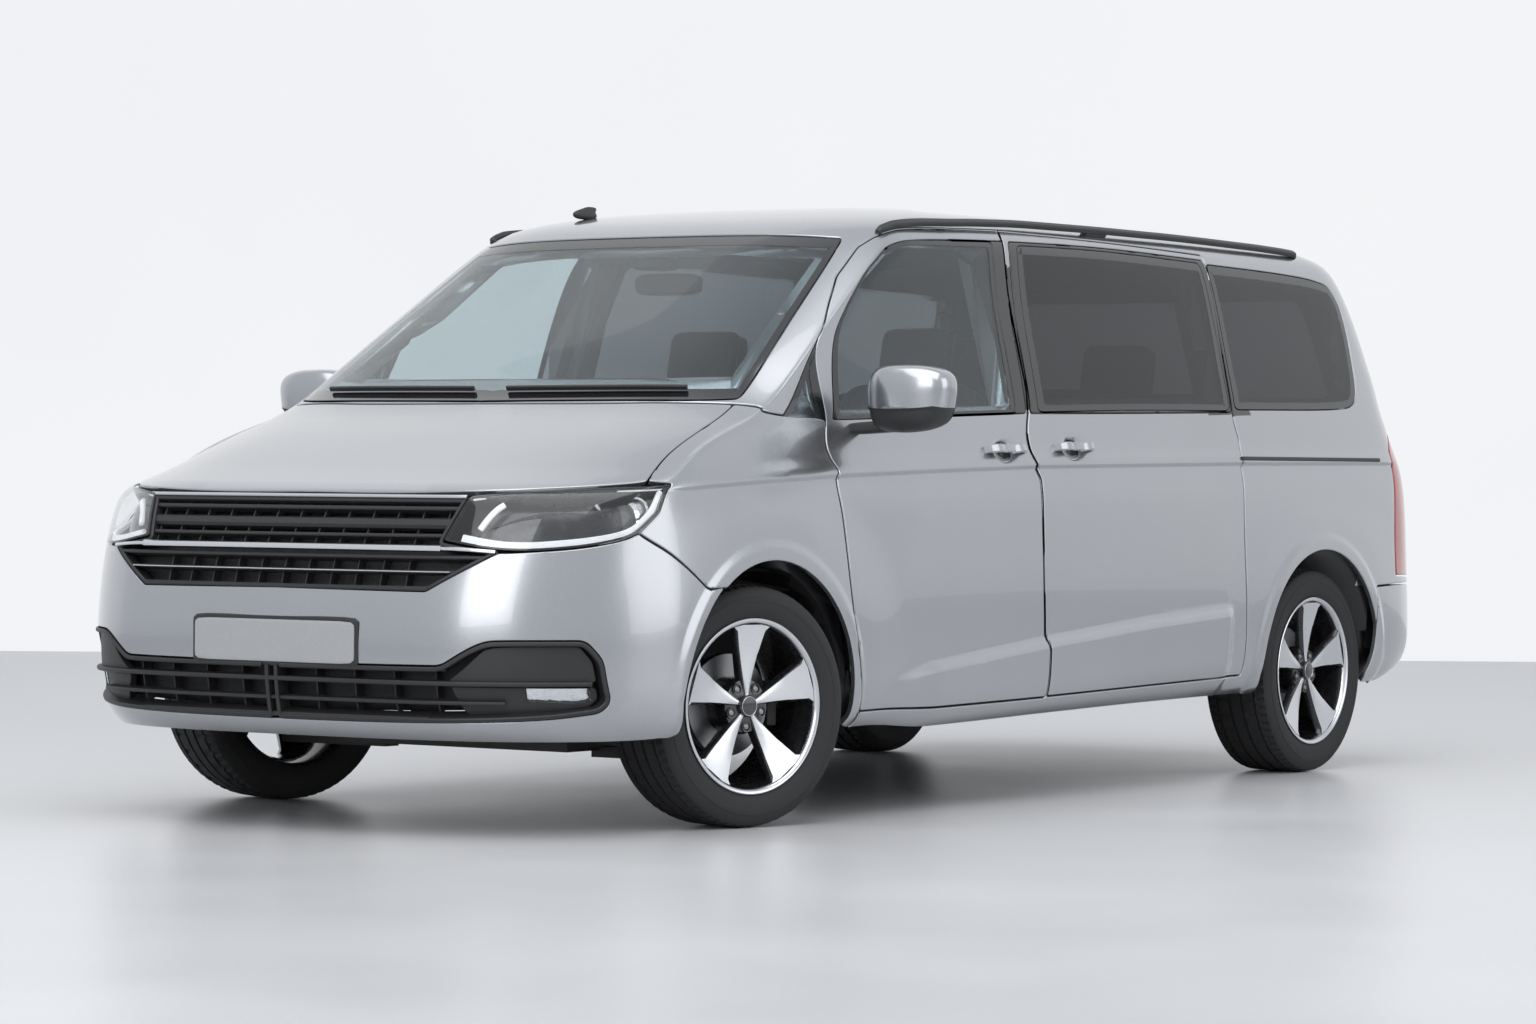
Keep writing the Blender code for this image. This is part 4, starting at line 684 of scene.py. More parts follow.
# The outlines of the panels, as they are seen from the side, the front and the rear, or from points near
# the skin. They lie on the flat sheet, and neighbours share their lines, so that the shut lines are even.
def drawn(*parts, radius=.03, closed=True, soft=True):
    """An outline on the flat sheet from stretches of points, each in its own view."""
    places = []
    for view, points in parts:
        if view == "sheet":
            places.append(np.array(points, float))
        elif view == "near":
            hits = [search_tree.find_nearest(Vector(point)) for point in points]
            goal = np.array([tuple(hit[0]) for hit in hits])
            at = np.array([cell_middle(hit[2]) for hit in hits])
            for _ in range(6):
                here = form(at[:, 0], at[:, 1], form_rings)
                right = (form(at[:, 0] + .01, at[:, 1], form_rings) - here) / .01
                rise = (form(at[:, 0], np.minimum(at[:, 1] + .01, top_row), form_rings) - here) / .01
                miss = goal - here
                a, b, c = (right * right).sum(1), (right * rise).sum(1), (rise * rise).sum(1)
                d, e = (miss * right).sum(1), (miss * rise).sum(1)
                area = np.maximum(a * c - b * b, 1e-9)
                move = np.stack([(d * c - e * b) / area, (a * e - b * d) / area], axis=1)
                at = at + np.clip(move, -.12, .12)
                at[:, 1] = np.clip(at[:, 1], 0, top_row)
            places.append(at)
        else:
            places.append(on_skin(points, view))
    places = np.concatenate(places)
    places[places[:, 0] > 24, 0] -= whole_turn
    return np.array(softened([tuple(p) for p in flatten(places)], radius if soft else 1e-4, closed=closed))


def side_line(shares):
    """Points seen from the side, from shares of the half length and the height."""
    return [(y * half_length, z * roof_height) for y, z in shares]


front_door_line = side_line((
    (-.43, .167), (-.448, .252), (-.463, .353), (-.469, .465), (-.468, .543), (-.461, .616), (-.427, .77),
    (-.354, .854), (-.297, .905), (-.251, .931), (-.178, .943), (-.008, .947), (-.04, .751), (-.046, .639),
    (-.048, .532), (-.05, .431), (-.049, .325), (-.044, .174)))
sliding_door_line = side_line((
    (-.041, .175), (-.047, .325), (-.048, .431), (-.045, .532), (-.044, .639), (-.038, .751), (-.006, .947),
    (.242, .943), (.465, .934), (.457, .868), (.452, .762), (.446, .653), (.453, .603), (.444, .532),
    (.441, .403), (.443, .291), (.44, .186)))
door_glass_line = side_line((
    (-.451, .623), (-.418, .748), (-.38, .798), (-.319, .863), (-.263, .906), (-.214, .922), (-.04, .927),
    (-.069, .751), (-.075, .641)))
sliding_glass_line = side_line((
    (-.024, .644), (-.018, .751), (.012, .924), (.207, .927), (.448, .918), (.443, .762), (.44, .655),
    (.213, .652)))
quarter_glass_line = side_line((
    (.456, .657), (.459, .762), (.465, .917), (.732, .909), (.796, .896), (.816, .863), (.81, .717),
    (.792, .675), (.76, .662)))

bonnet_front = [(.30, -2.335, .906), (.539, -2.306, .909), (.70, -2.225, .916), (.80, -2.115, .925),
                (.866, -1.998, .938)]
bonnet_side = [(.874, -1.974, .943), (.851, -1.912, .968), (.822, -1.795, 1.022), (.807, -1.648, 1.077),
               (.793, -1.512, 1.128), (.786, -1.461, 1.148)]
bonnet_rear = [(.60, -1.545, 1.150), (.422, -1.586, 1.152), (.2, -1.60, 1.152)]
lamp_top = [(.552, -2.318, .898), (.66, -2.262, .905), (.75, -2.193, .914), (.84, -2.06, .925),
            (.908, -1.912, .932)]
lamp_rear = [(.92, -1.981, .858), (.909, -2.055, .803)]
lamp_bottom = [(.894, -2.101, .784), (.824, -2.224, .761), (.686, -2.343, .750), (.516, -2.388, .779)]
bumper_shut = [(-2.049, .794), (-1.9256, .728), (-1.819, .6515)]
grille_edge = [(.548, .898), (.512, .776), (.672, .7515), (.655, .7426), (.492, .648)]


arch_radius = .392


def arch(axle, start, end, radius=arch_radius, steps=24):
    """The wheel arch's edge, between two angles from the front horizontal, going over the top."""
    angles = np.radians(np.linspace(start, end, steps))
    return [(axle - radius * math.cos(a), axle_height + radius * math.sin(a)) for a in angles]


def seam_row(x, place):
    """The height parameter on the middle line that is nearest to a point."""
    rows = np.linspace(0, top_row, 1901)
    points = form(np.full(len(rows), float(x)), rows, form_rings)
    return rows[np.argmin(np.linalg.norm(points - place, axis=1))]


bonnet_tip_row = seam_row(0, (0, -2.332, .905))
bonnet_end_row = seam_row(0, (0, -1.603, 1.153))
grille_top_row = seam_row(0, (0, -2.335, .898))
grille_low_row = seam_row(0, (0, -2.44, .648))
screen_low_row = seam_row(0, (0, -1.59, 1.160))
screen_top_row = seam_row(0, (0, -.782, 1.656))
gate_top_row = seam_row(rear_middle, (0, 2.141, 1.6725))
gate_low_row = seam_row(rear_middle, (0, 2.42, .519))
lip_row = .30

bonnet_outline = drawn(("sheet", [(0, bonnet_tip_row)]), ("near", bonnet_front + bonnet_side + bonnet_rear),
                       ("sheet", [(0, bonnet_end_row)]), radius=.012)
lamp_outline = drawn(("near", lamp_top + lamp_rear + lamp_bottom), radius=.012)
grille_outline = drawn(("sheet", [(0, grille_low_row)]), ("front", grille_edge[::-1]),
                       ("sheet", [(0, grille_top_row)]), radius=.008)
wing_outline = drawn(
    ("near", bonnet_side[::-1] + [lamp_top[-1]] + lamp_rear), ("side", bumper_shut),
    ("side", arch(front_axle, 55, 175)), ("side", [(-1.127, .262), (-1.072, .25), (-1.072, .298)]),
    ("side", [(y - .002, z) for y, z in front_door_line[:6]]),
    ("side", [(-1.16, 1.118), (-1.30, 1.118), (-1.42, 1.135)]), radius=.012)
bumper_outline = drawn(
    ("sheet", [(0, lip_row), (0, grille_low_row)]), ("front", grille_edge[:-4:-1]),
    ("near", lamp_bottom[-2::-1] + lamp_rear[:0:-1]), ("side", bumper_shut),
    ("side", arch(front_axle, 55, 3, .40)), ("side", [(-1.905, .27)]),
    ("sheet", [(4.6, lip_row), (2.5, lip_row)]), radius=.012)
intake_outline = drawn(("front", [(-.30, .450), (.30, .450), (.548, .452), (.651, .516), (.70, .520),
                                  (.855, .520), (.880, .469), (.884, .361), (.866, .334), (.762, .314),
                                  (.527, .305), (.25, .302), (-.25, .302)]), radius=.02)

# Clear-coated silver paint over all the pressed steel, with metal flakes under the clear coat. The glass
# is clear in front and tinted behind, and black plastic is grained or glossy.
silver_paint, principled, place = finish("silver paint", (.36, .37, .39), .24, .88, "paint",
                                         Coat_Weight=1.0, Coat_Roughness=.035, IOR=1.5)
flake = noise(place, 900, 2)
drift = noise(place, 1.6, 3)
feed(silver_paint, principled, Roughness=.18 + flake * .14,
     Base_Color=between(place, flake * .55 + drift * .45, (.34, .35, .37), (.47, .48, .50)))
under_paint = varied("grey primer inside", (.20, .20, .21), .6, .2, "paint", (5, 4),
                     (.15, .15, .16), (.24, .24, .25), (.5, .2))
black_plastic = varied("grained black plastic", (.018, .018, .019), .45, 0, "black_plastic", (700, 3),
                       (.012, .012, .013), (.028, .028, .030), (.38, .2), (.25, .0006))
gloss_black = varied("gloss black", (.006, .006, .007), .08, 0, "black_plastic", (9, 3),
                     (.004, .004, .005), (.010, .010, .011), (.05, .06), Coat_Weight=.6, Coat_Roughness=.02)
clear_glass = varied("window glass", (.70, .78, .80), .0, 0, "glass", (3, 3),
                     (.62, .71, .73), (.70, .78, .80), Transmission_Weight=1.0, IOR=1.45)
dark_glass = varied("tinted glass", (.12, .13, .14), .0, 0, "glass", (3, 3),
                    (.10, .11, .12), (.14, .15, .16), Transmission_Weight=1.0, IOR=1.45)

panel_gap, gate_gap = .0025, .0045


def crease(points):
    """An open line on the flat sheet, from points seen from the side."""
    return drawn(("side", points), closed=False, soft=False)


shoulder_edges = [crease([(y, np.interp(y, shoulder_line[:, 0], shoulder_line[:, 1]) - drop)
                          for y in np.linspace(-1.98, 2.22, 90)]) for drop in (-.025, 0, .006, .012)]
flare_lines = [crease(arch(axle, 10, 170, radius, 40))
               for axle in (front_axle, rear_axle) for radius in (.424, .436, .447, .458)]
crease_lines = [crease([(y, np.interp(y, swoosh_line[:, 0], swoosh_line[:, 1]) - drop)
                        for y in np.linspace(-.96, 1.10, 60)]) for drop in (0, .020, .040)]
scoop_lines = [crease([(y + scoop_long * share * math.cos(a), z + scoop_high * share * math.sin(a))
                       for a in np.linspace(0, 2 * math.pi, 33)])
               for y, z in handle_scoops for share in (1, .65, .35)]
pressed("bonnet_skin", [bonnet_outline], [grille_outline, lamp_outline], [silver_paint], "bonnet_body",
        seam=True, gap=panel_gap, replaces=("bonnet",))
pressed("wing_skin", [wing_outline], [lamp_outline, bonnet_outline], [silver_paint], "body", step=.022,
        gap=panel_gap, mirror=True, replaces=("wing",), lines=flare_lines + shoulder_edges)
pressed("front_bumper_skin", [bumper_outline], [lamp_outline, grille_outline, intake_outline], [silver_paint],
        "body", step=.025, seam=True, gap=panel_gap, replaces=("front_bumper",), lines=flare_lines)

# The linings: what lies behind each pressed skin, down to the pillars and the floor, painted where it
# faces a shut line and trimmed in pale cloth where it faces the cabin.
trim_cloth = varied("pale cabin trim", (.34, .34, .34), .85, 0, "cloth", (420, 3), (.26, .26, .265),
                    (.40, .40, .40), None, (.2, .0006), Sheen_Weight=.25, Sheen_Roughness=.5)
sunk_under, proud_by = .022, .012


def lining(node, body):
    """A copy of a solid sunk a little beneath the pressed skin, without what stands proud of it."""
    form_mesh = bmesh.new()
    form_mesh.from_mesh(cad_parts[node].data)
    bmesh.ops.remove_doubles(form_mesh, verts=form_mesh.verts, dist=1e-5)
    proud = []
    for vert in form_mesh.verts:
        spot, normal, _, _ = search_tree.find_nearest(vert.co)
        depth = (spot - vert.co).dot(normal)
        if depth < -proud_by:
            proud.append(vert)
        elif depth < sunk_under:
            vert.co = spot - normal * sunk_under
    bmesh.ops.delete(form_mesh, geom=proud, context="VERTS")
    bmesh.ops.holes_fill(form_mesh, edges=[e for e in form_mesh.edges if e.is_boundary], sides=60)
    bmesh.ops.dissolve_degenerate(form_mesh, edges=form_mesh.edges, dist=1e-5)
    bmesh.ops.triangulate(form_mesh, faces=form_mesh.faces)
    mesh = bpy.data.meshes.new(node + "_lining")
    form_mesh.to_mesh(mesh)
    form_mesh.free()
    for look in (silver_paint, trim_cloth, black_plastic):
        mesh.materials.append(look)
    for face in mesh.polygons:
        x, y, z = face.center
        spot, normal, _, _ = search_tree.find_nearest(face.center)
        depth = (spot - face.center).dot(normal)
        by_wheel = any(math.hypot(y - axle, z - axle_height) < .47 for axle in (front_axle, rear_axle))
        outward = face.normal.x * x > 0 or any(
            abs(axle - y) < .6 and face.normal.dot(Vector((0, axle - y, axle_height - z))) > 0
            for axle in (front_axle, rear_axle))
        if by_wheel and outward and depth > .012 or z < .445 and depth > .03:
            face.material_index = 2
        else:
            face.material_index = 1 if depth > .055 and z > .43 and abs(x) < .93 else 0
    mesh.polygons.foreach_set("use_smooth", [True] * len(mesh.polygons))
    mesh.set_sharp_from_angle(angle=math.radians(30))
    piece = bpy.data.objects.new(node + "_lining", mesh)
    scene.collection.objects.link(piece)
    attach(piece, body)
    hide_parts(node)


lining("body_shell", "body")
for side in ("left", "right"):
    lining("front_door_" + side, f"front_door_{side}_body")
    lining("sliding_door_" + side, "body")
lining("tailgate", "tailgate_body")

# The pressed panels of the sides, the roof and the rear, the glass in its black borders, and the lenses
# of the tail lamps. Doors, tailgate and their glass ride on their own bodies.
door_zone_line = side_line((
    (-.451, .623), (-.418, .748), (-.38, .798), (-.319, .863), (-.263, .906), (-.214, .922),
    (-.014, .930), (-.045, .751), (-.052, .641)))
slider_zone_line = side_line((
    (-.0415, .641), (-.035, .751), (-.002, .930), (.207, .933), (.461, .924), (.449, .762), (.443, .652),
    (.213, .646)))
corner_line = side_line(((-.575, .606), (-.441, .752), (-.462, .612)))
door_outline = drawn(("side", front_door_line), radius=.012)
slider_outline = drawn(("side", sliding_door_line), radius=.012)
door_zone = drawn(("side", door_zone_line), radius=.02)
slider_zone = drawn(("side", slider_zone_line), radius=.02)
door_glass = drawn(("side", door_glass_line), radius=.03)
slider_glass = drawn(("side", sliding_glass_line), radius=.035)
quarter_glass = drawn(("side", quarter_glass_line), radius=.035)
corner_glass = drawn(("side", corner_line), radius=.012)
screen_outline = drawn(
    ("sheet", [(0, screen_low_row)]),
    ("front", [(.45, 1.161), (.70, 1.161), (.784, 1.166), (.722, 1.40), (.650, 1.640), (.33, 1.655)]),
    ("sheet", [(0, screen_top_row)]), radius=.02)
gate_outline = drawn(
    ("sheet", [(rear_middle, gate_low_row)]),
    ("back", [(.70, .519), (.770, .600), (.800, .860), (.800, 1.0996), (.770, 1.2495),
              (.660, 1.640), (.600, 1.667), (.300, 1.6725)]),
    ("sheet", [(rear_middle, gate_top_row)]), radius=.03)
gate_glass = drawn(
    ("sheet", [(rear_middle, seam_row(rear_middle, (0, 2.36, 1.15)))]),
    ("back", [(.600, 1.150), (.690, 1.20), (.600, 1.574), (.540, 1.600)]),
    ("sheet", [(rear_middle, seam_row(rear_middle, (0, 2.24, 1.60)))]), radius=.04)
tail_lamp_outline = drawn(("back", [(.808, .625), (.808, 1.0976)]),
                          ("side", [(2.215, 1.111), (2.150, 1.04), (2.133, .80), (2.133, .632)]), radius=.015)
rear_bumper_outline = drawn(
    ("sheet", [(rear_middle, .3), (rear_middle, gate_low_row)]), ("back", [(.70, .519), (.770, .600)]),
    ("side", [(2.25, .607), (1.975, .600), (1.965, .40), (1.945, .31)]),
    ("sheet", [(10.93, .3)]), radius=.012)
front_region = drawn(
    ("sheet", [(0, 0), (0, bonnet_end_row)]), ("near", bonnet_rear[::-1] + [bonnet_side[-1]]),
    ("side", [(-1.42, 1.135), (-1.30, 1.118), (-1.16, 1.118)]),
    ("side", [(y - .002, z) for y, z in front_door_line[5::-1]]),
    ("sheet", [(6.26, .2), (6.26, 0)]), radius=.012)
arch_feet = [(rear_axle + arch_radius, .25), (rear_axle - arch_radius, .25)]
rear_arch = drawn(("side", arch(rear_axle, 0, 180) + arch_feet), radius=.01)
whole_side = flatten(np.array([(0, 0), (rear_middle, 0), (rear_middle, top_row), (0, top_row)]))
body_outline = np.array(softened([tuple(p) for p in whole_side], .01))
painted = {"looks": [silver_paint, under_paint], "inner_look": 1}
door_lines = crease_lines + scoop_lines[:3] + flare_lines[:4] + shoulder_edges


def pane(name, outline, glass, body, border, replaced, gap=.002, thick=.005, roll=.001, **way):
    """A sheet of glass a little below the paint, with a black border along its rim."""
    pressed(name, [outline], [], [glass, gloss_black], body, step=.04, gap=gap, thick=thick, roll=roll,
            lift=-.001, border=border, replaces=(replaced,), **way)


pressed("body_skin", [body_outline],
        [front_region, door_outline, slider_outline, quarter_glass, corner_glass, screen_outline,
         gate_outline, tail_lamp_outline, rear_bumper_outline, rear_arch],
        body="body", step=.028, seam=True, gap=panel_gap, lines=flare_lines + shoulder_edges, **painted)
pressed("front_door_skin", [door_outline], [door_zone], body="front_door_LEFT_body", step=.022, mirror=True,
        gap=panel_gap, lines=door_lines, **painted)
pressed("front_door_frame", [door_zone], [door_glass], [gloss_black], "front_door_LEFT_body", step=.03,
        mirror=True, gap=.001)
pane("front_door_pane", door_glass, clear_glass, "front_door_LEFT_body", .018, "front_door_glass",
     gap=.001, mirror=True)
pressed("sliding_door_skin", [slider_outline], [slider_zone], body="body", step=.022, mirror=True,
        gap=panel_gap, lines=crease_lines + scoop_lines[3:] + shoulder_edges, **painted)
pressed("sliding_door_frame", [slider_zone], [slider_glass], [gloss_black], "body", step=.03,
        mirror=True, gap=.001)
pane("sliding_door_pane", slider_glass, dark_glass, "body", .030, "sliding_door_glass", gap=.001, mirror=True)
pane("quarter_pane", quarter_glass, dark_glass, "body", .035, "quarter_glass", mirror=True)
pane("corner_pane", corner_glass, clear_glass, "body", .026, "corner_glass", mirror=True)
pane("windscreen_pane", screen_outline, clear_glass, "body", .032, "windscreen", .003, .006, .0015, seam=True)
pressed("tailgate_skin", [gate_outline], [gate_glass], body="tailgate_body", step=.025, seam=True,
        gap=gate_gap, thick=.010, **painted)
pane("tailgate_pane", gate_glass, dark_glass, "tailgate_body", .035, "tailgate_glass", seam=True)
pressed("rear_bumper_skin", [rear_bumper_outline], [gate_outline], body="body", step=.025, seam=True,
        gap=panel_gap, replaces=("rear_bumper",), lines=flare_lines, **painted)
tail_red = varied("tail lamp red", (.24, .004, .005), .16, 0, "tail_lamp", (60, 2), (.22, .004, .006),
                  (.42, .012, .014), (.08, .1), Coat_Weight=1.0, Coat_Roughness=.02)
pressed("tail_lamp_lens", [tail_lamp_outline], [gate_outline], [tail_red], "body", step=.02, mirror=True,
        gap=.003, replaces=("tail_lamp",))

# Tyres of black rubber with their tread, on five-spoke wheels cast in aluminium: the spokes' faces are
# turned bright and the pockets painted black. The front pair is steered about its kingpins.
rubber = varied("tyre rubber", (.016, .016, .017), .78, 0, "tyre", (240, 4),
                (.010, .010, .011), (.026, .026, .027), (.62, .25), (.25, .0008))
machined = varied("machined aluminium", (.62, .63, .65), .24, 1.0, "alloy", (500, 2), (.54, .55, .57),
                  (.68, .69, .71), (.18, .14), Coat_Weight=.6, Coat_Roughness=.05)
pocket_black = varied("pocket black", (.012, .012, .013), .25, .2, "alloy", (40, 3), (.008, .008, .009),
                      (.018, .018, .020), (.2, .15), Coat_Weight=.8, Coat_Roughness=.05)
disc_iron = varied("brake disc iron", (.26, .26, .27), .38, 1.0, "chassis_steel", (300, 3),
                   (.18, .18, .19), (.32, .32, .33), (.3, .2))
tyre_middle, tyre_radius, bead_radius = -.1095, .330, .2237
steered, kingpin_x, hub_out, rear_wheel_x = -14.4, .751, .185, .930


def ring_of(profile, steps, depth_of=None):
    """Points and faces of a closed profile of (x, radius) turned about the axle."""
    angles = np.linspace(0, 2 * math.pi, steps, endpoint=False)
    points, faces = [], []
    for k, a in enumerate(angles):
        for j, (x, r) in enumerate(profile):
            r = r - (depth_of(j, k) if depth_of else 0)
            points.append((x, r * math.sin(a), r * math.cos(a)))
    n = len(profile)
    for k in range(steps):
        for j in range(n):
            a, b = k * n + j, k * n + (j + 1) % n
            c, d = (k + 1) % steps * n + (j + 1) % n, (k + 1) % steps * n + j
            faces.append((a, b, c, d))
    return points, faces


def tyre_profile():
    """The tyre's section: beads, curved sidewalls with a raised band, shoulders and four tread grooves."""
    wall = [(.82, 0), (.86, .06), (.90, .14), (.945, .24), (.975, .34), (.993, .46), (1.0, .58),
            (1.008, .585), (1.006, .66), (.995, .665), (.975, .76), (.945, .84), (.915, .895), (.88, .935),
            (.85, .955)]
    tread = [(.80, .972), (.74, .984), (.66, .990), (.62, .992), (.615, .925), (.545, .925), (.54, .994),
             (.30, .999), (.23, 1.0), (.225, .93), (.145, .93), (.14, 1.0), (0, 1.0)]
    half = [(s * .1175, bead_radius + r * (tyre_radius - bead_radius)) for s, r in wall + tread]
    return [(tyre_middle + x, r) for x, r in half] + [(tyre_middle - x, r) for x, r in half[-2::-1]]


def tread_cut(j, k):
    """How far a point of the tyre is cut in, for sipes at the shoulders and in the middle blocks."""
    return .006 if (j in shoulder and k % 3 == 0) or (j in middle_blocks and k % 6 == 3) else 0


tyre_line = tyre_profile()
shoulder = {j for j, (x, r) in enumerate(tyre_line) if r > .3235 and abs(x - tyre_middle) > .075}
middle_blocks = {j for j, (x, r) in enumerate(tyre_line) if r > .3265 and .030 < abs(x - tyre_middle) < .068}
tyre_points, tyre_faces = ring_of(tyre_line, 216, tread_cut)

rim_line = [(-.014, .2335), (-.004, .2370), (.0015, .2385), (.003, .2360), (.002, .2315), (-.002, .2265),
            (-.012, .2225), (-.030, .2195), (-.070, .2150), (-.130, .2120), (-.190, .2140), (-.214, .2230),
            (-.217, .2350), (-.205, .2350), (-.200, .2235), (-.120, .2232), (-.030, .2232), (-.0165, .2236)]
rim_steps = 120
rim_points, rim_faces = ring_of(rim_line, rim_steps)
rim_marks = [0 if j < 6 or j >= len(rim_line) - 1 else 1 for j in range(len(rim_line))] * rim_steps


def spoke_mesh():
    """One wedge-shaped spoke, lofted from the hub to the rim: bright face, bevelled edge, black walls."""
    points, faces, marks = [], [], []
    sections, hub_edge, spoke_end = 15, .028, .2235
    for i in range(sections):
        s = i / (sections - 1)
        r = hub_edge + (spoke_end - hub_edge) * s
        half = .0085 + .0475 * s ** 1.12 + (.010 * max(0, (s - .93) / .07) ** 2)
        front = -.026 + .020 * s ** 1.4 - .004 * math.sin(math.pi * s)
        deep = .030 - .010 * s
        back = front - deep
        section = [(-half, front - .004), (-half + .0035, front), (-half * .5, front + .0012),
                   (0, front + .0016), (half * .5, front + .0012), (half - .0035, front),
                   (half, front - .004), (half + .004, back), (half * .6, back - .006),
                   (-half * .6, back - .006), (-half - .004, back)]
        for w, x in section:
            bow = math.sqrt(max(r * r - w * w, 1e-6)) if s > .6 else r
            points.append((x, w, bow))
    n = len(section)
    for i in range(sections - 1):
        for j in range(n):
            a, b = i * n + j, i * n + (j + 1) % n
            faces.append((a, a + n, b + n, b))
            marks.append(0 if 1 <= j <= 4 else 1)
    faces.append(tuple(range(n)))
    faces.append(tuple(range((sections - 1) * n, sections * n))[::-1])
    marks += [1, 1]
    return points, faces, marks


def wheel_place(side, front):
    """Where a wheel stands: the rear ones straight, the front ones steered about their kingpins."""
    turned_round = Matrix.Identity(4) if side > 0 else Matrix.Rotation(math.pi, 4, "Z")
    if not front:
        return Matrix.Translation((side * rear_wheel_x, rear_axle, axle_height)) @ turned_round
    steer = Matrix.Rotation(math.radians(steered), 4, "Z")
    kingpin = Matrix.Translation((side * kingpin_x, front_axle, axle_height))
    return kingpin @ steer @ Matrix.Translation((side * hub_out, 0, 0)) @ turned_round


def joined(parts):
    """Several meshes of points, faces and marks as one."""
    points, faces, marks = [], [], []
    for part_points, part_faces, part_marks in parts:
        first = len(points)
        points += [tuple(p) for p in part_points]
        faces += [tuple(k + first for k in f) for f in part_faces]
        marks += list(part_marks)
    return points, faces, marks


def turned_about(points, angle):
    """Points turned about the axle."""
    c, s = math.cos(angle), math.sin(angle)
    return [(x, y * c + z * s, z * c - y * s) for x, y, z in points]


def lathe(profile, steps, mark):
    """A turned solid whose profile starts and ends on the axis."""
    points, faces = [(profile[0][0], 0, 0)], []
    angles = np.linspace(0, 2 * math.pi, steps, endpoint=False)
    for x, r in profile[1:-1]:
        points += [(x, r * math.sin(a), r * math.cos(a)) for a in angles]
    points.append((profile[-1][0], 0, 0))
    rows = len(profile) - 2
    for k in range(steps):
        n = (k + 1) % steps
        faces.append((0, 1 + n, 1 + k))
        for j in range(rows - 1):
            a = 1 + j * steps
            faces.append((a + k, a + n, a + steps + n, a + steps + k))
        last = 1 + (rows - 1) * steps
        faces.append((last + k, last + n, len(points) - 1))
    return points, faces, [mark] * len(faces)


def outwards(piece):
    """Turns all faces of a piece to the outside."""
    mend = bmesh.new()
    mend.from_mesh(piece.data)
    bmesh.ops.recalc_face_normals(mend, faces=mend.faces)
    mend.to_mesh(piece.data)
    mend.free()


spokes = 5
spoke_points, spoke_faces, spoke_marks = spoke_mesh()
wheel_parts = [(rim_points, rim_faces, rim_marks)]
for k in range(spokes):
    wheel_parts.append((turned_about(spoke_points, k * 2 * math.pi / spokes), spoke_faces, spoke_marks))
hub_line = [(-.030, 0), (-.030, .040), (-.034, .072), (-.050, .078), (-.125, .078), (-.130, .070), (-.130, 0)]
cap_line = [(-.0145, 0), (-.0150, .020), (-.0165, .0275), (-.0200, .0300), (-.0400, .0305), (-.040, 0)]
wheel_parts += [lathe(hub_line, 60, 1), lathe(cap_line, 48, 1)]
ring_points, ring_faces = ring_of([(-.0150, .0245), (-.0142, .0255), (-.0150, .0265), (-.0165, .0255)], 48)
wheel_parts.append((ring_points, ring_faces, [0] * len(ring_faces)))
bolt_line = [(-.0260, 0), (-.0265, .0060), (-.0290, .0085), (-.0340, .0088), (-.045, .0088), (-.045, 0)]
cup_line = [(-.0350, 0), (-.0350, .011), (-.0290, .0125), (-.0285, .0150), (-.034, .0170), (-.060, .0170),
            (-.060, 0)]
bolt_circle = .056
for k in range(spokes):
    for line, steps, mark in ((bolt_line, 12, 2), (cup_line, 24, 1)):
        points, faces, marks = lathe(line, steps, mark)
        points = [(x, y, z + bolt_circle) for x, y, z in points]
        wheel_parts.append((turned_about(points, (k + .5) * 2 * math.pi / spokes), faces, marks))
disc_line = [(-.108, 0), (-.108, .075), (-.108, .139), (-.110, .1405), (-.128, .1405), (-.130, .139),
             (-.130, 0)]
wheel_parts.append(lathe(disc_line, 72, 3))
wheel_points, wheel_faces, wheel_marks = joined(wheel_parts)
for side, side_name in ((1, "left"), (-1, "right")):
    for front, end_name in ((True, "front"), (False, "rear")):
        matrix = wheel_place(side, front)
        tyre, wheel, rim = (f"{end_name}_{part}_{side_name}" for part in ("tyre", "wheel", "rim"))
        moved = [matrix @ Vector(p) for p in tyre_points]
        add_piece(tyre + "_tread", moved, [f[::-1] for f in tyre_faces], [rubber], wheel, [tyre])
        moved = [matrix @ Vector(p) for p in wheel_points]
        outwards(add_piece(wheel + "_cast", moved, wheel_faces,
                           [machined, pocket_black, disc_iron, disc_iron], wheel, [rim], marks=wheel_marks))

# Grille, intake and bright strips: bars of grained plastic that follow the nose, over a dark duct, with
# two strips of satin chrome across the grille. The intake's ends carry inserts with the fog lamps.
chrome = varied("satin chrome", (.72, .73, .75), .16, 1.0, "alloy", (260, 2), (.64, .65, .67),
                (.78, .79, .80), (.12, .1), Coat_Weight=.3, Coat_Roughness=.05)


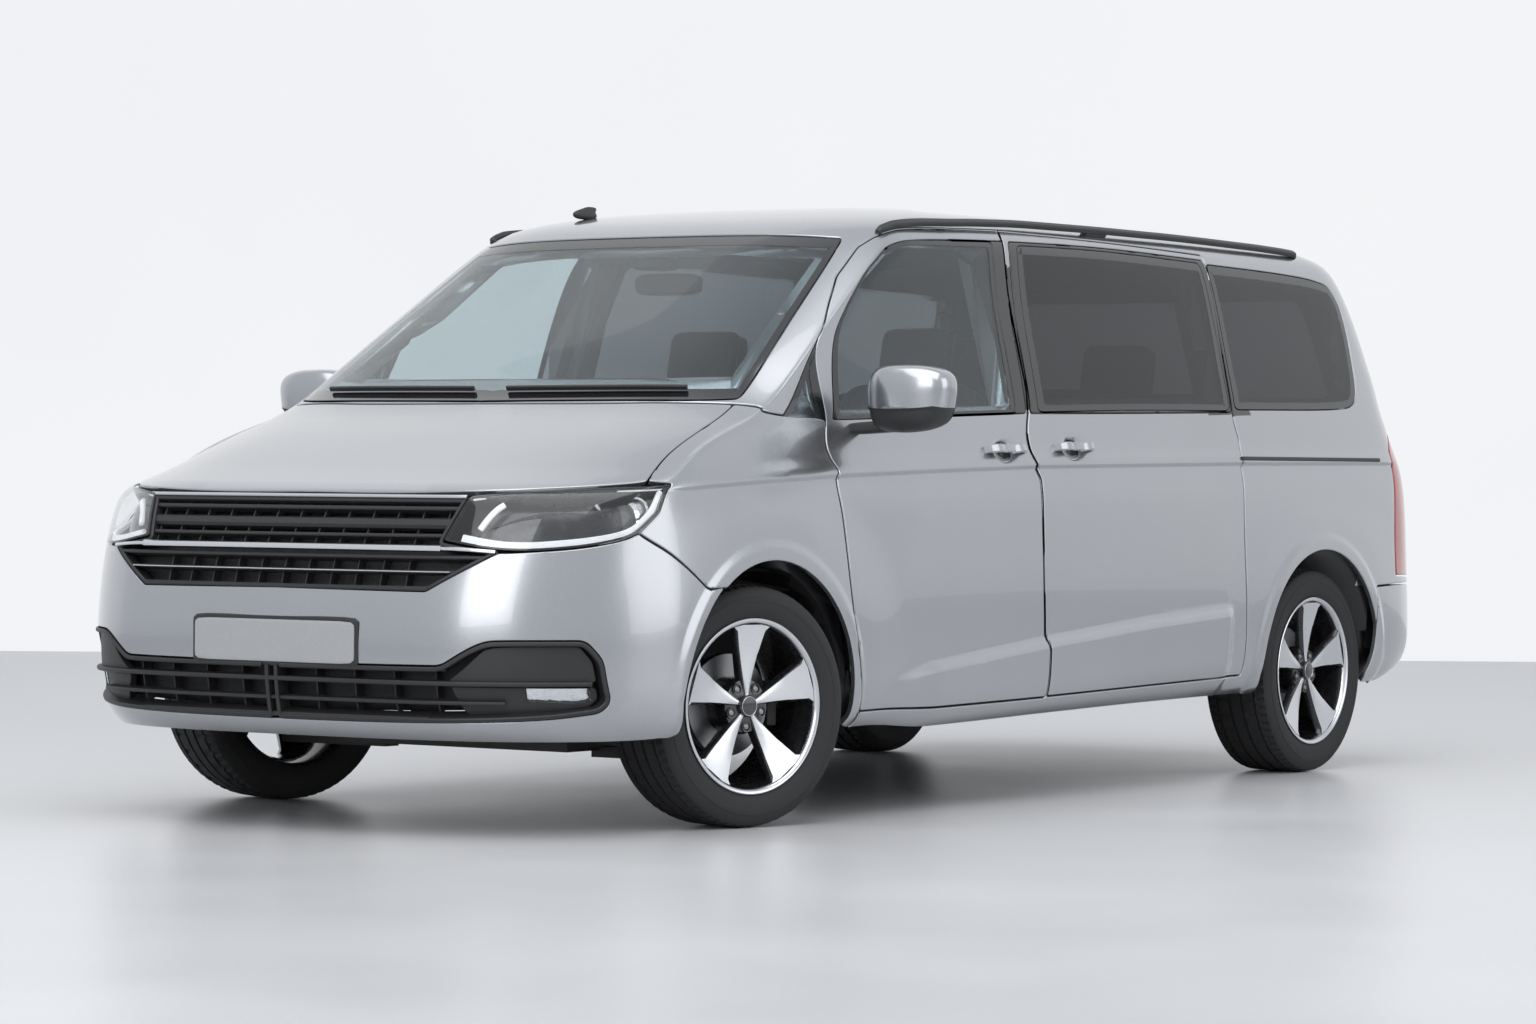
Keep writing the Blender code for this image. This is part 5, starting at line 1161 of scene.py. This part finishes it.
def moulding(view_points, view, width, thick, depth, rise=None, step=.015, radius=.02):
    """A bar along a line on the skin, with rounded edges: its points and faces."""
    if view == "flat":
        flat = np.array(softened([tuple(p) for p in view_points], radius, step, False))
    else:
        flat = drawn((view, view_points), radius=radius, closed=False)
    places = unflatten(flat)
    share = np.linspace(0, 1, len(places))
    top, normal = skin(places[:, 0], places[:, 1], 0)
    sunk = depth if rise is None else (depth * np.clip(np.sin(math.pi * share), 0, 1) ** rise)[:, None]
    top = top - normal * sunk
    along = np.gradient(top, axis=0)
    along /= np.maximum(np.linalg.norm(along, axis=1, keepdims=True), 1e-9)
    across = np.cross(normal, along)
    w, t = width / 2, thick / 2
    c = min(w, t) * .45
    section = [(-w + c, -t), (w - c, -t), (w, -t + c), (w, t - c), (w - c, t), (-w + c, t), (-w, t - c),
               (-w, -t + c)]
    points = []
    for k in range(len(top)):
        points += [tuple(top[k] + across[k] * a + normal[k] * b) for a, b in section]
    n = len(section)
    faces = []
    for k in range(len(top) - 1):
        for j in range(n):
            m = (j + 1) % n
            faces.append((k * n + j, k * n + m, (k + 1) * n + m, (k + 1) * n + j))
    faces.append(tuple(range(n))[::-1])
    faces.append(tuple(range((len(top) - 1) * n, len(top) * n)))
    return points, faces, [0] * len(faces)


def mirror_parts(parts):
    """Parts and their mirror images."""
    return parts + [([(-x, y, z) for x, y, z in points], [f[::-1] for f in faces], marks)
                    for points, faces, marks in parts]


def assemble(name, parts, looks, body, replaces=()):
    """Parts of points, faces and marks as one piece."""
    points, faces, marks = joined(parts)
    piece = add_piece(name, points, faces, looks, body, replaces, marks=marks)
    outwards(piece)
    return piece


def front_bars(*rows):
    """Level bars across the nose, from their height, reach, width, thickness and depth."""
    return [moulding([(x, z) for x in np.linspace(-reach, reach, 15)], "front", width, thick, depth)
            for z, reach, width, thick, depth in rows]


def fin_bar(x, top, low, width, depth):
    """An upright bar across the nose's openings."""
    return moulding([(x, z) for z in np.linspace(top, low, 4)], "front", width, .030, depth)


duct, principled, place = finish("dark duct mesh", (.006, .006, .007), .7, slot="black_plastic")
cell = place.node("ShaderNodeTexVoronoi", {"feature": "DISTANCE_TO_EDGE"}, Vector=place, Scale=130.0)
feed(duct, principled, Roughness=.55 + cell * .3,
     Base_Color=between(place, cell * 3.0, (.012, .012, .013), (.002, .002, .002)))
for name, outline, lift, hidden in (("grille_duct", grille_outline, -.050, "grille"),
                                    ("intake_duct", intake_outline, -.060, "lower_intake")):
    pressed(name, [outline], [], [duct], "body", step=.04, seam=True, lift=lift, thick=.004, roll=.001,
            replaces=(hidden,))
grille_bars = front_bars(
    (.868, .535, .012, .030, .022), (.830, .520, .030, .034, .024), (.796, .512, .010, .030, .022),
    (.700, .565, .008, .030, .020), (.655, .495, .012, .034, .018), (.886, .545, .010, .020, .012),
    (.738, .640, .010, .034, .020))
for x in np.linspace(-.50, .50, 13):
    grille_bars.append(fin_bar(x, .885, .772, .004, .034))
    if abs(x) < .48:
        grille_bars.append(fin_bar(x, .742, .652, .004, .036))
edge_path = moved_out(grille_outline, -.005)[np.abs(grille_outline[:, 0]) > .01]
grille_bars += mirror_parts([moulding(edge_path, "flat", .010, .040, .022, radius=.004)])
assemble("grille_bars", grille_bars, [black_plastic], "body")
strips = front_bars((.8935, .546, .011, .012, .001), (.758, .520, .016, .016, -.003))
strips += mirror_parts([moulding([(.520, .758), (.56, .7575), (.61, .755), (.664, .7512)], "front",
                                 .009, .012, -.001)])
strips += front_bars((.6985, .555, .003, .006, .002))
assemble("grille_chrome", strips, [chrome], "body")

insert_outline = drawn(("front", [(.600, .440), (.660, .500), (.700, .508), (.848, .508), (.868, .466),
                                  (.872, .412), (.56, .412)]), radius=.012)
low_insert = drawn(("front", [(.565, .398), (.872, .398), (.872, .365), (.856, .343), (.762, .324),
                              (.60, .316)]), radius=.012)
fog_outline = drawn(("front", [(.748, .396), (.862, .396), (.862, .362), (.840, .352), (.748, .358)]),
                    radius=.006)
pressed("intake_insert_upper", [insert_outline], [], [black_plastic], "body", step=.02, mirror=True,
        lift=-.010, thick=.02, roll=.003)
pressed("intake_insert_lower", [low_insert], [fog_outline], [black_plastic], "body", step=.02, mirror=True,
        lift=-.020, thick=.02, roll=.003)
intake_bars = front_bars((.408, .862, .012, .034, .012), (.356, .70, .010, .030, .016),
                         (.444, .56, .010, .030, .020), (.312, .50, .012, .040, .018))
for x in np.linspace(-.52, .52, 9):
    intake_bars.append(fin_bar(x, .442, .312, .005, .044))
edge = [tuple(p) for p in moved_out(intake_outline, -.006) if p[0] > .01]
first = next(k for k in range(len(edge)) if edge[k][0] < .05 and edge[k - 1][0] < edge[k][0])
intake_bars += mirror_parts([moulding(edge[first:] + edge[:first], "flat", .012, .046, .018, radius=.004)])
assemble("intake_bars", intake_bars, [black_plastic], "body")

lamp_glass = varied("clear lens", (.95, .96, .97), .0, 0, "lamp_lens", (4, 2), (.93, .94, .95),
                    (.97, .98, .98), Transmission_Weight=1.0, IOR=1.38)
white_strip, principled, place = finish("light guide", (.85, .87, .90), .3, 0, "lamp_lens",
                                        Emission_Strength=.35)
core = noise(place, 90, 2)
feed(white_strip, principled, Base_Color=between(place, core, (.78, .80, .83), (.92, .93, .95)),
     Emission_Color=between(place, core, (.8, .85, .9), (1, 1, 1)))
reflector = varied("lamp reflector", (.75, .76, .78), .10, 1.0, "lamp_lens", (70, 2), (.60, .61, .63),
                   (.85, .86, .87), None, (.5, .004))
pressed("fog_lamp_reflector", [fog_outline], [], [reflector], "body", step=.012, mirror=True, lift=-.034,
        thick=.006, roll=.002)
pressed("fog_lamp_lens", [fog_outline], [], [lamp_glass], "body", step=.012, mirror=True, lift=-.018,
        thick=.003, roll=.001, gap=.001)

# Headlamps: a dark housing under a clear cover, with a bright guide along its lower and outer edge, a
# slanted inner guide, a thin one along the top, and two round projectors.
lamp_dark = varied("lamp housing", (.035, .036, .038), .22, .5, "lamp_lens", (30, 3), (.02, .02, .022),
                   (.06, .06, .065), (.15, .15), Coat_Weight=.5, Coat_Roughness=.05)
pressed("headlamp_housing", [lamp_outline], [], [lamp_dark], "body", step=.02, mirror=True, lift=-.055,
        thick=.004, roll=.001, replaces=("headlamp",))
pressed("headlamp_cover", [lamp_outline], [], [lamp_glass, gloss_black], "body", step=.02, mirror=True,
        lift=-.0005, thick=.003, roll=.0015, gap=.002, border=.006)
wall_path = [tuple(p) for p in moved_out(lamp_outline, -.006)]
walls = [moulding(wall_path + wall_path[:1], "flat", .006, .052, .030, radius=.003)]
assemble("headlamp_walls", mirror_parts(walls), [lamp_dark], "body")
lower = drawn(("near", [(.905, -1.945, .912), (.918, -1.985, .868), (.900, -2.050, .812),
                        (.880, -2.110, .792), (.815, -2.215, .775), (.690, -2.325, .764),
                        (.560, -2.360, .785)]), radius=.03, closed=False)
slanted = [(.640, -2.290, .880), (.612, -2.325, .845), (.598, -2.340, .812)]
upper = [(.56, -2.318, .889), (.66, -2.256, .896), (.75, -2.187, .905), (.84, -2.07, .916),
         (.90, -1.945, .922)]
guides = [moulding(lower, "flat", .022, .010, .018, radius=.01),
          moulding(slanted, "near", .016, .010, .026, radius=.01), moulding(upper, "near", .005, .006, .010)]
assemble("headlamp_guides", mirror_parts(guides), [white_strip], "body")
turn_out = Matrix.Rotation(math.radians(-62), 4, "Z")
projectors, lens_parts = [], []
for x, y, z, size in ((.775, -2.115, .848, .036), (.855, -2.005, .862, .030)):
    bowl_line = [(0, 0), (0, size * .2), (.004, size * 1.15), (-.002, size * 1.22), (-.045, size), (-.045, 0)]
    lens_line = [(.018, 0), (.0165, size * .4), (.011, size * .75), (.004, size * .95), (0, size), (-.004, 0)]
    for line, group in ((bowl_line, projectors), (lens_line, lens_parts)):
        points, faces, marks = lathe(line, 40, 0)
        group.append(([tuple(Vector((x, y, z)) + turn_out @ Vector(p)) for p in points], faces, marks))
assemble("headlamp_projectors", mirror_parts(projectors), [reflector], "body")
assemble("headlamp_lenses", mirror_parts(lens_parts), [lamp_glass], "body")

# Door mirrors: a painted cap over a black housing with its glass let in, on a black arm from the corner of
# the door. The door handles are painted bars before a hollow in the skin.
mirror_glass = varied("mirror glass", (.75, .77, .79), .02, 1.0, "glass", (3, 2), (.70, .72, .74),
                      (.78, .80, .82))
mirror_size, mirror_place = (.245, .150, .190), (1.070, -1.020, 1.172)


def crowned(size, place, cuts, power=6.0, shape=None, turn=None):
    """A closed form between a box and a ball, from a gridded cube: shape moves its points, by shares."""
    cube = bmesh.new()
    bmesh.ops.create_cube(cube, size=2)
    bmesh.ops.subdivide_edges(cube, edges=cube.edges, cuts=cuts, use_grid_fill=True)
    share = np.array([tuple(v.co) for v in cube.verts])
    faces = [tuple(v.index for v in f.verts) for f in cube.faces]
    middles = np.array([tuple(f.calc_center_median()) for f in cube.faces])
    cube.free()
    long = (np.abs(share) ** power).sum(axis=1) ** (1 / power)
    round_share = share / long[:, None]
    points = round_share * np.array(size) / 2
    if shape is not None:
        points = shape(points, round_share, share)
    if turn is not None:
        points = points @ np.array(turn.to_3x3()).T
    return points + np.array(place), faces, middles


def block(*form, mark=0):
    """A crowned form as one part of a piece."""
    points, faces, _ = crowned(*form)
    return points, faces, [mark] * len(faces)


def mirror_shape(points, share, raw):
    """The mirror's cap narrows outwards, over a groove, and its back holds the sunk glass."""
    x, y, z = share.T
    out = points.copy()
    out[:, 2] *= 1 - .12 * ease((x + .2) / 1.4)
    out[:, 0] += .012 * (z + 1) * (x > 0)
    out[:, 1] += .014 * ease(np.abs(x)) * (y < 0)
    low = ease((-.30 - z) / .06) * (y < .6)
    out[:, 0] -= low * .004 * np.sign(x)
    out[:, 1] += low * .004 * (y < 0)
    back = (raw[:, 1] > .99) & (np.abs(raw[:, 0]) < .84) & (np.abs(raw[:, 2]) < .80)
    out[back, 1] -= .010
    return out


def arm_shape(points, share, raw):
    """The arm rises and leans back towards the mirror."""
    return points + np.stack([0 * share[:, 0], .010 * share[:, 0], .006 * share[:, 0]], axis=1)


def mirror_mark(x, y, z):
    """Which finish a face of the mirror has: paint, black housing or glass."""
    if y > .99 and abs(x) < .80 and abs(z) < .76:
        return 2
    return 1 if z < -.34 or y > .55 else 0


points, faces, middles = crowned(mirror_size, mirror_place, 25, 3.6, mirror_shape)
head = (points, faces, [mirror_mark(*middle) for middle in middles])
arm = block((.200, .052, .034), (.965, -1.020, 1.092), 9, 4.0, arm_shape, mark=1)
for side, turned in (("left", 1), ("right", -1)):
    door_body = f"front_door_{side}_body"
    parts = [(points * (turned, 1, 1), [f[::turned] for f in faces], marks)
             for points, faces, marks in (head, arm)]
    assemble("mirror_" + side, parts, [silver_paint, black_plastic, mirror_glass], door_body)
    for name, middle, level, body in (("front_door_handle_", -.292, 1.032, door_body),
                                      ("sliding_door_handle_", .0916, 1.042, "body")):
        bar = moulding([(middle + t, level + .006 * t) for t in np.linspace(-.112, .112, 9)], "side",
                       .026, .014, -.030, rise=.35, step=.008)
        bar = bar if turned > 0 else mirror_parts([bar])[1]
        assemble(name + side, [bar], [silver_paint], body)

# Number plates, left blank: a grey plate in a black frame before and behind. The front one is flat and
# stands on its block, and the rear one follows the tailgate.
plate_grey = varied("blank plate", (.34, .345, .355), .35, 0, "black_plastic", (300, 2), (.30, .305, .315),
                    (.40, .405, .415), (.3, .15))
assemble("front_plate", [block((.580, .050, .136), (.008, -2.448, .508), 11, 14.0),
                         block((.556, .010, .112), (.008, -2.4705, .508), 11, 16.0, mark=1)],
         [black_plastic, plate_grey], "body")
rear_plate_outline = drawn(("back", [(0, .845), (.262, .845), (.262, .735), (0, .735)]), radius=.006)
rear_frame_outline = drawn(("back", [(0, .853), (.270, .853), (.270, .727), (0, .727)]), radius=.008)
pressed("rear_plate_frame", [rear_frame_outline], [], [black_plastic], "tailgate_body", step=.03, seam=True,
        lift=.004, thick=.006, roll=.002)
pressed("rear_plate", [rear_plate_outline], [], [plate_grey], "tailgate_body", step=.03, seam=True,
        lift=.006, thick=.004, roll=.001)

# The pillars between the side windows in gloss black, and the hollows behind the handles in gloss black as
# painted shade, for the shade that falls in them: faces of the pressed skins that change their finish.
pillar_low, pillar_high = 1.152, 1.585


def blacken(piece_name, chosen):
    """Gives gloss black to the chosen faces of a pressed skin."""
    skin_mesh = bpy.data.objects[piece_name].data
    if "gloss black" not in skin_mesh.materials:
        skin_mesh.materials.append(gloss_black)
    black = list(skin_mesh.materials).index(gloss_black)
    for face in skin_mesh.polygons:
        if chosen(face, *face.center):
            face.material_index = black


def in_pillar(front, rear, inner):
    """Tests whether a painted face is part of the pillar between two lengths and outside of a width."""
    return lambda face, x, y, z: (front < y < rear and pillar_low < z < pillar_high and abs(x) > inner
                                  and face.material_index == 0)


def in_scoop_painted_shade(face, x, y, z):
    """Tests whether a face lies in the hollow behind a handle, which gets gloss black as painted shade."""
    return abs(x) > .85 and any(math.hypot((y - middle) / scoop_long, (z - level) / scoop_high) < .66
                                for middle, level in handle_scoops)


for side in ("left", "right"):
    blacken("front_door_skin_" + side, in_pillar(-.16, .10, 0))
    blacken("sliding_door_skin_" + side, in_pillar(-.12, .06, 0))
    blacken("sliding_door_skin_" + side, in_pillar(.95, 1.20, 0))
    # the hollows behind the handles get gloss black as painted shade
    blacken("front_door_skin_" + side, in_scoop_painted_shade)
    blacken("sliding_door_skin_" + side, in_scoop_painted_shade)
blacken("body_skin", in_pillar(1.02, 1.22, .6))

# Roof rails of black plastic with a foot in the middle, the aerial fin, the wipers, the inside mirror with
# its sensor housing, and the sliding doors' rail slots.
rail_x = .740
rail_line = [(rail_x, y, np.interp(y, (-.70, 0, 1.84), (1.712, 1.750, 1.724)))
             for y in np.linspace(-.66, 1.84, 26)]
foot_line = [(rail_x, .55 + t, 1.745) for t in np.linspace(-.06, .06, 5)]
slot_way = [(y, 1.016) for y in np.linspace(1.10, 2.04, 20)]
for side, turned in (("left", 1), ("right", -1)):
    bars = [moulding(rail_line, "near", .024, .018, -.018, rise=.12, step=.02),
            moulding(foot_line, "near", .020, .020, -.006, step=.02)]
    slot = [moulding(slot_way, "side", .012, .008, -.001, step=.03)]
    if turned < 0:
        bars, slot = mirror_parts(bars)[len(bars):], mirror_parts(slot)[len(slot):]
    assemble("roof_rail_bar_" + side, bars, [black_plastic], "body", ("roof_rail_" + side,))
    assemble("sliding_rail_" + side, slot, [black_plastic], "body")


def fin_shape(points, share, raw):
    """The fin narrows and leans back towards its top."""
    up = share[:, 2]
    return np.stack([points[:, 0] * (1 - .75 * ease((up + .6) / 1.6)),
                     points[:, 1] * (1 - .35 * ease((up + .4) / 1.4)) + .03 * ease(up), points[:, 2]], axis=1)


assemble("aerial_fin", [block((.030, .110, .040), (-.46, -.50, 1.752), 9, 3.0, fin_shape)],
         [black_plastic], "body")
screen_low = unflatten(moved_out(screen_outline, -.030))
screen_spots = skin(screen_low[:, 0], screen_low[:, 1], -.012)[0]
above_sill = screen_spots[:, 2].min() + .05
base_line = sorted(tuple(p) for p in screen_spots if p[2] < above_sill and .03 < p[0] < .66)
base_x, base_y, base_z = zip(*base_line)
blade = [(x, np.interp(x, base_x, base_y), np.interp(x, base_x, base_z)) for x in np.linspace(.06, .64, 14)]
wiper = moulding(blade, "near", .010, .014, -.010, step=.03)
assemble("wipers", mirror_parts([wiper]), [black_plastic], "body")
screen_rear, screen_top = screen_spots[:, 1].max(), screen_spots[:, 2].max()
assemble("inside_mirror", [block((.12, .12, .045), (0, screen_rear + .02, screen_top - .075), 9, 4.0),
                           block((.24, .034, .066), (0, screen_rear + .09, screen_top - .135), 11, 4.0)],
         [black_plastic], "body")

# Seats: foam pads in grey cloth, crowned between sewn channels and bolsters, on moulded bases. Each pad
# fills the space of its solid and leans as it does.
seat_cloth, principled, place = finish("grey seat cloth", (.075, .077, .080), .9, 0, "cloth",
                                       Sheen_Weight=.35, Sheen_Roughness=.45)
weave = noise(place, 520, 2)
mottle = noise(place, 9, 3)
feed(seat_cloth, principled, Normal=bumped(place, weave, .45, .0010), Roughness=.82 + weave * .14,
     Base_Color=between(place, weave * .7 + mottle * .3, (.045, .046, .048), (.120, .122, .126)))
seat_lean = Matrix.Rotation(math.radians(-12), 4, "X")
upright = seat_lean @ Matrix.Rotation(math.radians(90), 4, "X")


def pad_shape(channels, splits, bolster, crown, thin):
    """Moves a pad's points: crowned face, raised bolsters, sewn channels across and splits along it."""
    def shape(points, share, raw):
        x, y, z = share.T
        out = points.copy()
        face = ease((z - .1) / .7)
        out[:, 2] += crown * face * (1 - x ** 2) * (1 - y ** 2)
        for split in splits:
            out[:, 2] -= .012 * face * np.exp(-((x - split) / .028) ** 2)
        if bolster:
            out[:, 2] += bolster * face * ease((np.abs(x) - .62) / .16) * (1 - y ** 4)
            out[:, 2] -= .009 * face * np.exp(-((np.abs(x) - .64) / .030) ** 2)
        between_bolsters = np.abs(x) < .64 if bolster else 1
        for channel in channels:
            out[:, 2] -= .008 * face * np.exp(-((y - channel) / .026) ** 2) * between_bolsters
        piping = np.exp(-((z - .55) / .10) ** 2)
        out[:, 0] *= 1 - thin * (1 - y ** 2) * (1 - np.abs(z))
        out[:, 0] += .003 * piping * np.sign(x) * (np.abs(x) > .8)
        out[:, 1] += .003 * piping * np.sign(y) * (np.abs(y) > .8)
        return out
    return shape


def pad(name, size, place, shape, node, turn=None, cuts=41):
    """A padded piece in seat cloth."""
    piece = assemble(name, [block(size, place, cuts, 7.0, shape, turn)], [seat_cloth], "body", (node,))


def base_shape(points, share, raw):
    """A seat's base narrows to its foot."""
    up = share[:, 2]
    return np.stack([points[:, 0] * (1 + .05 * up), points[:, 1] * (1 + .08 * up), points[:, 2]], axis=1)


channels = (-.35, .05, .45)
for node, middle, front, width, splits, bolster in (
        ("front_seat_left", .40, -.55, .50, (), .022), ("front_seat_right", -.40, -.55, .50, (), .022),
        ("middle_bench", 0, .42, 1.24, (-.34, .34), 0), ("rear_bench", 0, 1.30, 1.24, (-.34, .34), 0)):
    foot = Vector((middle, front + .465, .6267))
    up_back = [tuple(foot + seat_lean @ Vector((0, 0, height))) for height in (.315, .695, .64)]
    pad(node + "_cushion", (width * .985, .485, .125), (middle, front + .255, .645),
        pad_shape(channels, splits, bolster, .010, .015), node)
    pad(node + "_back", (width * .985, .600, .118), up_back[0],
        pad_shape(channels, splits, bolster, .008, .02), node, upright)
    pad(node + "_head_rest", (.255, .185, .090), up_back[1],
        pad_shape((), (), 0, .006, .02), node, upright, cuts=23)
    parts = [block((width * .74, .33, .145), (middle, front + .23, .515), 9, 7.0, base_shape)]
    parts += [block((.012, .012, .12), (up_back[2][0] + off, *up_back[2][1:]), 3, 2.5) for off in (-.06, .06)]
    assemble(node + "_base", parts, [black_plastic], "body", (node,))

# The solids that stay as they are get their finishes: iron engine, welded black steel below, grained dash
# and a leather wheel rim.
engine_iron = varied("cast engine iron", (.14, .14, .145), .6, .7, "engine_iron", (60, 4), (.08, .08, .085),
                     (.20, .20, .21), None, (.5, .002))
frame_steel = varied("coated black steel", (.05, .05, .052), .5, .3, "chassis_steel", (35, 4),
                     (.030, .030, .031), (.085, .083, .080), (.42, .25), (.3, .001))
leather, principled, place = finish("wheel rim leather", (.02, .02, .021), .5, 0, "black_plastic")
pores = place.node("ShaderNodeTexVoronoi", Vector=place, Scale=900.0)
feed(leather, principled, Normal=bumped(place, pores, .3, .0005),
     Base_Color=between(place, pores, (.016, .016, .017), (.030, .030, .031)))
kept_solids = {
    engine_iron: ("engine",), black_plastic: ("dashboard",), leather: ("steering_wheel",),
    frame_steel: ("subframe", "front_frame", "rear_axle", "knuckle_left", "knuckle_right")}
for look, nodes in kept_solids.items():
    for node in nodes:
        for held_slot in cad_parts[node].material_slots:
            held_slot.material = look
